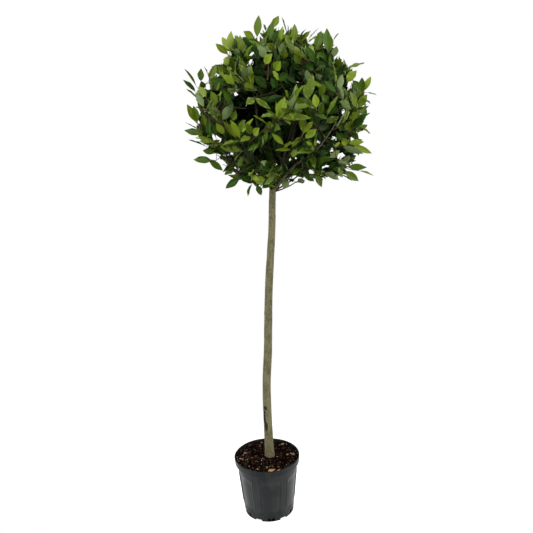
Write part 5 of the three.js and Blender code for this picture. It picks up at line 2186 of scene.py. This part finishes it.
    def _buds(self, limb: Limb, order: Order, base: int) -> Iterator[Bud]:
        """Sets the buds of a shoot, from its tip inwards.

        Args:
            limb: The shoot.
            order: The order of shoots that it belongs to.
            base: Age of its youngest leaves.

        Yields:
            The buds, one for each leaf.
        """
        rng, habit = self.rng, self.habit
        ways = tangents(limb.path)
        steps = np.linalg.norm(np.diff(limb.path, axis=0), axis=1)
        along = np.concatenate([[0], np.cumsum(steps)]) / steps.sum()
        first = max(habit.innermost, 1 - order.leafy / steps.sum())
        away = unit(limb.path[-1] - self._spring)
        lean = np.clip((away[2] + habit.upright_from) / habit.upright_span, 0, 1)
        turn = rng.uniform(0, FULL_TURN)
        for i in range(order.leaves):
            inwards = i / (order.leaves - 1)
            place = habit.outermost + (first - habit.outermost) * inwards
            stem = np.array([np.interp(place, along, limb.path[:, axis]) for axis in range(3)])
            way = unit(np.array([np.interp(place, along, ways[:, axis]) for axis in range(3)]))
            opening = (habit.inner_spread - habit.inner_spread_upright * lean) * inwards**habit.spread_power
            spread = habit.spread - habit.spread_upright * lean + opening + rng.normal(0, habit.spread_stray)
            full = rng.uniform(*habit.length)
            grown = min(1.0, inwards * habit.length_rate + rng.uniform(0, habit.length_stray))
            length = full * (habit.tip_length + habit.length_gain * grown)
            age = base + int(inwards * habit.ageing * rng.random()) - int(rng.random() < habit.younger)
            turn += GOLDEN_TURN
            shade = Shade(min(OLDEST, max(0, age)))
            yield Bud(stem, way, away, lean, math.radians(spread), turn, length, shade)

    def _grow_leaves(self, index: int, limb: Limb, order: Order, reach: float, base: int) -> None:
        """Grows the leaves of a shoot where there is room, the older and darker the deeper in the crown they
        lie, as age and as painted shade.

        Args:
            index: Number of its mass.
            limb: The shoot.
            order: The order of shoots that it belongs to.
            reach: How far the crown reaches there.
            base: Age of its youngest leaves.
        """
        habit = self.habit
        for bud in self._buds(limb, order, base):
            leaf = self._best_leaf(bud, reach)
            if leaf is not None:
                # painted shade: leaves deep in the crown take older, darker colours, partly for their age
                depth = reach - float(np.linalg.norm(leaf.middle() - self._middle))
                stray = self.rng.uniform(*habit.shaded_stray)
                deeper = int(max(0.0, depth - habit.shaded_from) / habit.shaded_step * stray)
                shade = Shade(min(OLDEST, leaf.shade.value + deeper))
                self._add_leaf(index, replace(leaf, shade=shade), bud.stem)

    def _tips(self, order: Order) -> list[tuple[int, Array, float]]:
        """Spreads the tips of an order of shoots evenly over the crown.

        Args:
            order: The order.

        Returns:
            The number of the mass, the place of the tip and the reach of the crown there, from the heart
            of each mass outwards.
        """
        tips = []
        for i in range(order.tips):
            height = 1 - 2 * (i + 0.5) / order.tips
            level = math.sqrt(1 - height**2)
            turn = i * GOLDEN_TURN + order.phase
            way = np.array((level * math.cos(turn), level * math.sin(turn), height))
            reach = self._reach(way)
            deep = order.scatter * self.rng.random() ** self.scatter_power
            tip = self._middle + way * (reach - order.setback - deep)
            index = self._nearest_mass(tip)
            tips.append((float(np.linalg.norm(tip - self._hearts[index])), index, tip, reach))
        return [tip[1:] for tip in sorted(tips, key=lambda tip: tip[0])]

    def _grow_order(self, order: Order) -> None:
        """Grows an order of shoots with their leaves.

        Args:
            order: The order.
        """
        least, stray = self.low_age_and_shade
        for index, tip, reach in self._tips(order):
            limb = self._grow_limb(index, tip, Wood.OLD)
            # leaves low in the crown take older, darker colours: partly age, partly painted shade under the
            # crown
            low = float(smooth_step(self.low_from - tip[2], 0, self.low_span))
            base = int(self.rng.choice(len(Shade), p=order.ages))
            base += int(low * (least + stray * self.rng.random()))
            self._grow_leaves(index, limb, order, reach, min(base, OLDEST))
            if self._limbs[index][-1] is limb:
                self._cut_limb(index)

    def grow(self) -> None:
        """Grows every twig and leaf: the seen ones first, then order after order of shoots."""
        for twig in SEEN_TWIGS:
            self._add_seen_twig(twig)
        for told in SEEN_LEAVES:
            self._add_seen_leaf(told)
        for order in ORDERS:
            self._grow_order(order)
            if order is ORDERS[0]:
                self._join_seen()
        logger.info("leaves: %d", sum(map(len, self._leaves)))

    def build(self, bark: Material) -> list[Piece]:
        """Makes the boughs, and the twigs and leaves of every mass.

        Args:
            bark: Material of the boughs.

        Returns:
            The pieces, mass after mass.
        """
        pieces = []
        form, leaf_materials = LeafForm(), LeafFinish().materials()
        twig_materials = [WOOD_FINISHES[wood].material() for wood in Wood]
        for index, mass in enumerate(MASSES):
            bough, twigs = self._bough_piece(index, bark), self._twig_piece(index, twig_materials)
            leaves = MeshStock()
            form.add_to(leaves, self._leaves[index])
            blades = leaves.build(f"leaves_{mass.name}", leaf_materials, self.leaf_sharp_from)
            for made in (twigs, blades):
                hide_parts(f"foliage_{mass.name}")
            pieces += [bough, twigs, blades]
        return pieces

    def _end_radius(self, mass: Mass) -> float:
        """Returns the radius of a bough where its twigs begin."""
        return min(self.bough_tip, self.bough_tip_share * mass.bough_radius)

    def _twig_piece(self, index: int, materials: list[Material]) -> Piece:
        """Makes the twigs and stalks of a mass.

        Args:
            index: Number of the mass.
            materials: One for each kind of wood.

        Returns:
            The piece.
        """
        mass, end, heart = MASSES[index], self._boughs[index][-1], self._hearts[index]
        twigs = MeshStock()
        stem = bezier(end, (end + heart) / 2, heart, self.stem_rings)
        twigs.add(*tube(stem, np.full(len(stem), self._end_radius(mass)), self.stem_sides), Wood.OLD.value)
        for limb in self._limbs[index]:
            sides = self.stalk_sides if limb.radii[0] < self.stalk_most else self.twig_sides
            twigs.add(*tube(limb.path, limb.radii, sides), limb.wood.value)
        piece = twigs.build(f"twigs_{mass.name}", materials, self.twig_sharp_from)
        return piece

    def _bough_piece(self, index: int, bark: Material) -> Piece:
        """Makes a bough.

        Args:
            index: Number of its mass.
            bark: Its material.

        Returns:
            The bough.
        """
        mass, path = MASSES[index], self._boughs[index]
        share = np.linspace(0, 1, len(path))
        radii = mass.bough_radius + (self._end_radius(mass) - mass.bough_radius) * share
        away = np.linalg.norm(path - path[0], axis=1)
        radii = radii + self.bough_flare * mass.bough_radius * np.exp(-away / self.bough_flare_length)
        around = path[:, None] + np.arange(self.bough_sides)[None, :, None] * self.bough_stagger
        rough = soft_noise(around, (self.bough_wave,) * 3, self.bough_seed + index)
        stock = MeshStock()
        stock.add(*tube(path, radii[:, None] + self.bough_relief * rough, self.bough_sides))
        piece = stock.build(f"bough_{mass.name}_bark", [bark], self.bough_sharp_from)
        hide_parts(f"bough_{mass.name}")
        return piece


# The studio


@dataclass(frozen=True)
class SoftBox:
    """A square light that looks at the plant."""

    name: str
    place: Place
    size: float
    power: float


SOFT_BOXES = (
    SoftBox("key", (-1.5, -2.2, 2.9), 1.6, 62),
    SoftBox("fill", (2.1, -1.9, 2.0), 1.8, 40),
    SoftBox("top", (0.1, 0.1, 3.6), 2.0, 34),
    SoftBox("low", (0.2, -2.6, 0.5), 1.4, 14),
    SoftBox("left", (-2.6, -0.7, 1.7), 1.4, 30),
    SoftBox("right", (2.7, -0.5, 1.8), 1.4, 40),
    SoftBox("back", (0.4, 2.8, 2.3), 1.8, 26),
    SoftBox("left_rim", (-2.5, 0.7, 0.9), 1.2, 13),
    SoftBox("right_rim", (2.4, 1.3, 0.9), 1.2, 15),
)


@dataclass(frozen=True)
class Studio:
    """The white room: soft light, a pale floor and the camera."""

    view: Viewpoint
    aim: Place = (0.06, 0.0, 1.0)
    backdrop: float = 1.0
    ambient: float = 0.08
    sheen: float = 0.15
    floor_height: float = -0.0004
    floor_radii: tuple[float, ...] = (0.001, 0.3, 1.6)
    floor_sides: int = 96
    floor_fades: Span = (0.16, 0.8)
    floor_glow: float = 0.6
    floor_sharp_from: float = 60
    clip: Span = (0.05, 60)

    def _light_world(self) -> None:
        """Makes the backdrop white to the camera, and dim to what it lights and to what mirrors it."""
        world = bpy.data.worlds.new("studio")
        bpy.context.scene.world = world
        world.use_nodes = True
        tree = world.node_tree
        path = tree.nodes.new("ShaderNodeLightPath")
        camera, glossy = (Signal(tree, path.outputs[f"Is {ray} Ray"]) for ray in ("Camera", "Glossy"))
        strength = camera * (self.backdrop - self.ambient) + glossy * (self.sheen - self.ambient)
        strength = strength + self.ambient
        background = tree.nodes["Background"]
        background.inputs["Color"].default_value = (1, 1, 1, 1)
        tree.links.new(strength.socket, background.inputs["Strength"])

    def _hang_lights(self) -> None:
        """Hangs the soft boxes, each turned to the plant."""
        for box in SOFT_BOXES:
            data = bpy.data.lights.new(box.name, "AREA")
            data.shape, data.size, data.energy = "SQUARE", box.size, box.power
            lamp = bpy.data.objects.new(box.name, data)
            lamp.location = box.place
            lamp.rotation_euler = (Vector(self.aim) - Vector(box.place)).to_track_quat("-Z", "Y").to_euler()
            bpy.context.scene.collection.objects.link(lamp)

    def _lay_floor(self) -> None:
        """Lays a pale round floor that fades out into the backdrop."""
        turn = np.linspace(0, FULL_TURN, self.floor_sides, endpoint=False)
        rings = np.array([circle(radius, turn, self.floor_height) for radius in self.floor_radii])
        stock = MeshStock()
        stock.add(rings.reshape(-1, 3), grid_faces(len(rings), self.floor_sides, closed=True)[:, ::-1])
        bench = Bench("floor_pale")
        clear = 1 - bench.ramp(bench.near((0, 0, 0), EVEN), *self.floor_fades)
        glow = {"emission_color": (1.0, 1.0, 1.0), "emission_strength": self.floor_glow}
        material = bench.finish((0.9, 0.9, 0.9), roughness=0.9, specular=0.1, alpha=clear, **glow)
        stock.build("floor", [material], self.floor_sharp_from)

    def _place_camera(self) -> None:
        """Puts the camera where the picture was taken from."""
        data = bpy.data.cameras.new("camera")
        data.sensor_width = self.view.sensor
        data.lens = self.view.sensor * self.view.focal / self.view.side
        data.clip_start, data.clip_end = self.clip
        camera = bpy.data.objects.new("camera", data)
        camera.matrix_world = self.view.matrix()
        bpy.context.scene.collection.objects.link(camera)
        bpy.context.scene.camera = camera

    def build(self) -> None:
        """Sets up the light, the floor and the camera."""
        bpy.context.scene.view_settings.view_transform = "Standard"
        self._light_world()
        self._hang_lights()
        self._lay_floor()
        self._place_camera()


TRUNK_BARK = BarkFinish("bark", (0.184, 0.17, 0.088), (0.097, 0.09, 0.046), (0.25, 0.23, 0.142), TRUNK_STAINS)
BOUGH_BARK = BarkFinish("bough_bark", (0.11, 0.098, 0.05), (0.055, 0.048, 0.026), (0.16, 0.14, 0.08))
CROWN_SEED = 29
COMPOST_SEED = 7


def main() -> None:
    """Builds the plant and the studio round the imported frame."""
    logging.basicConfig(level=logging.INFO, format="%(message)s")
    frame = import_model()
    logger.info("frame of %d nodes", len(frame["nodes"]))
    view, trunk = Viewpoint(), Trunk()
    bark, bough_bark = TRUNK_BARK.material(), BOUGH_BARK.material()
    crown = Crown(trunk, view, np.random.default_rng(CROWN_SEED))
    crown.grow()
    pieces = [
        NurseryPot().build(),
        CompostFill(np.random.default_rng(COMPOST_SEED)).build(),
        trunk.build(bark),
        *crown.build(bough_bark),
    ]
    for piece in pieces:
        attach(piece, ROOT_BODY)
        logger.info("%s: %d faces", piece.name, len(piece.data.polygons))
    Studio(view).build()


if __name__ == "__main__":
    main()
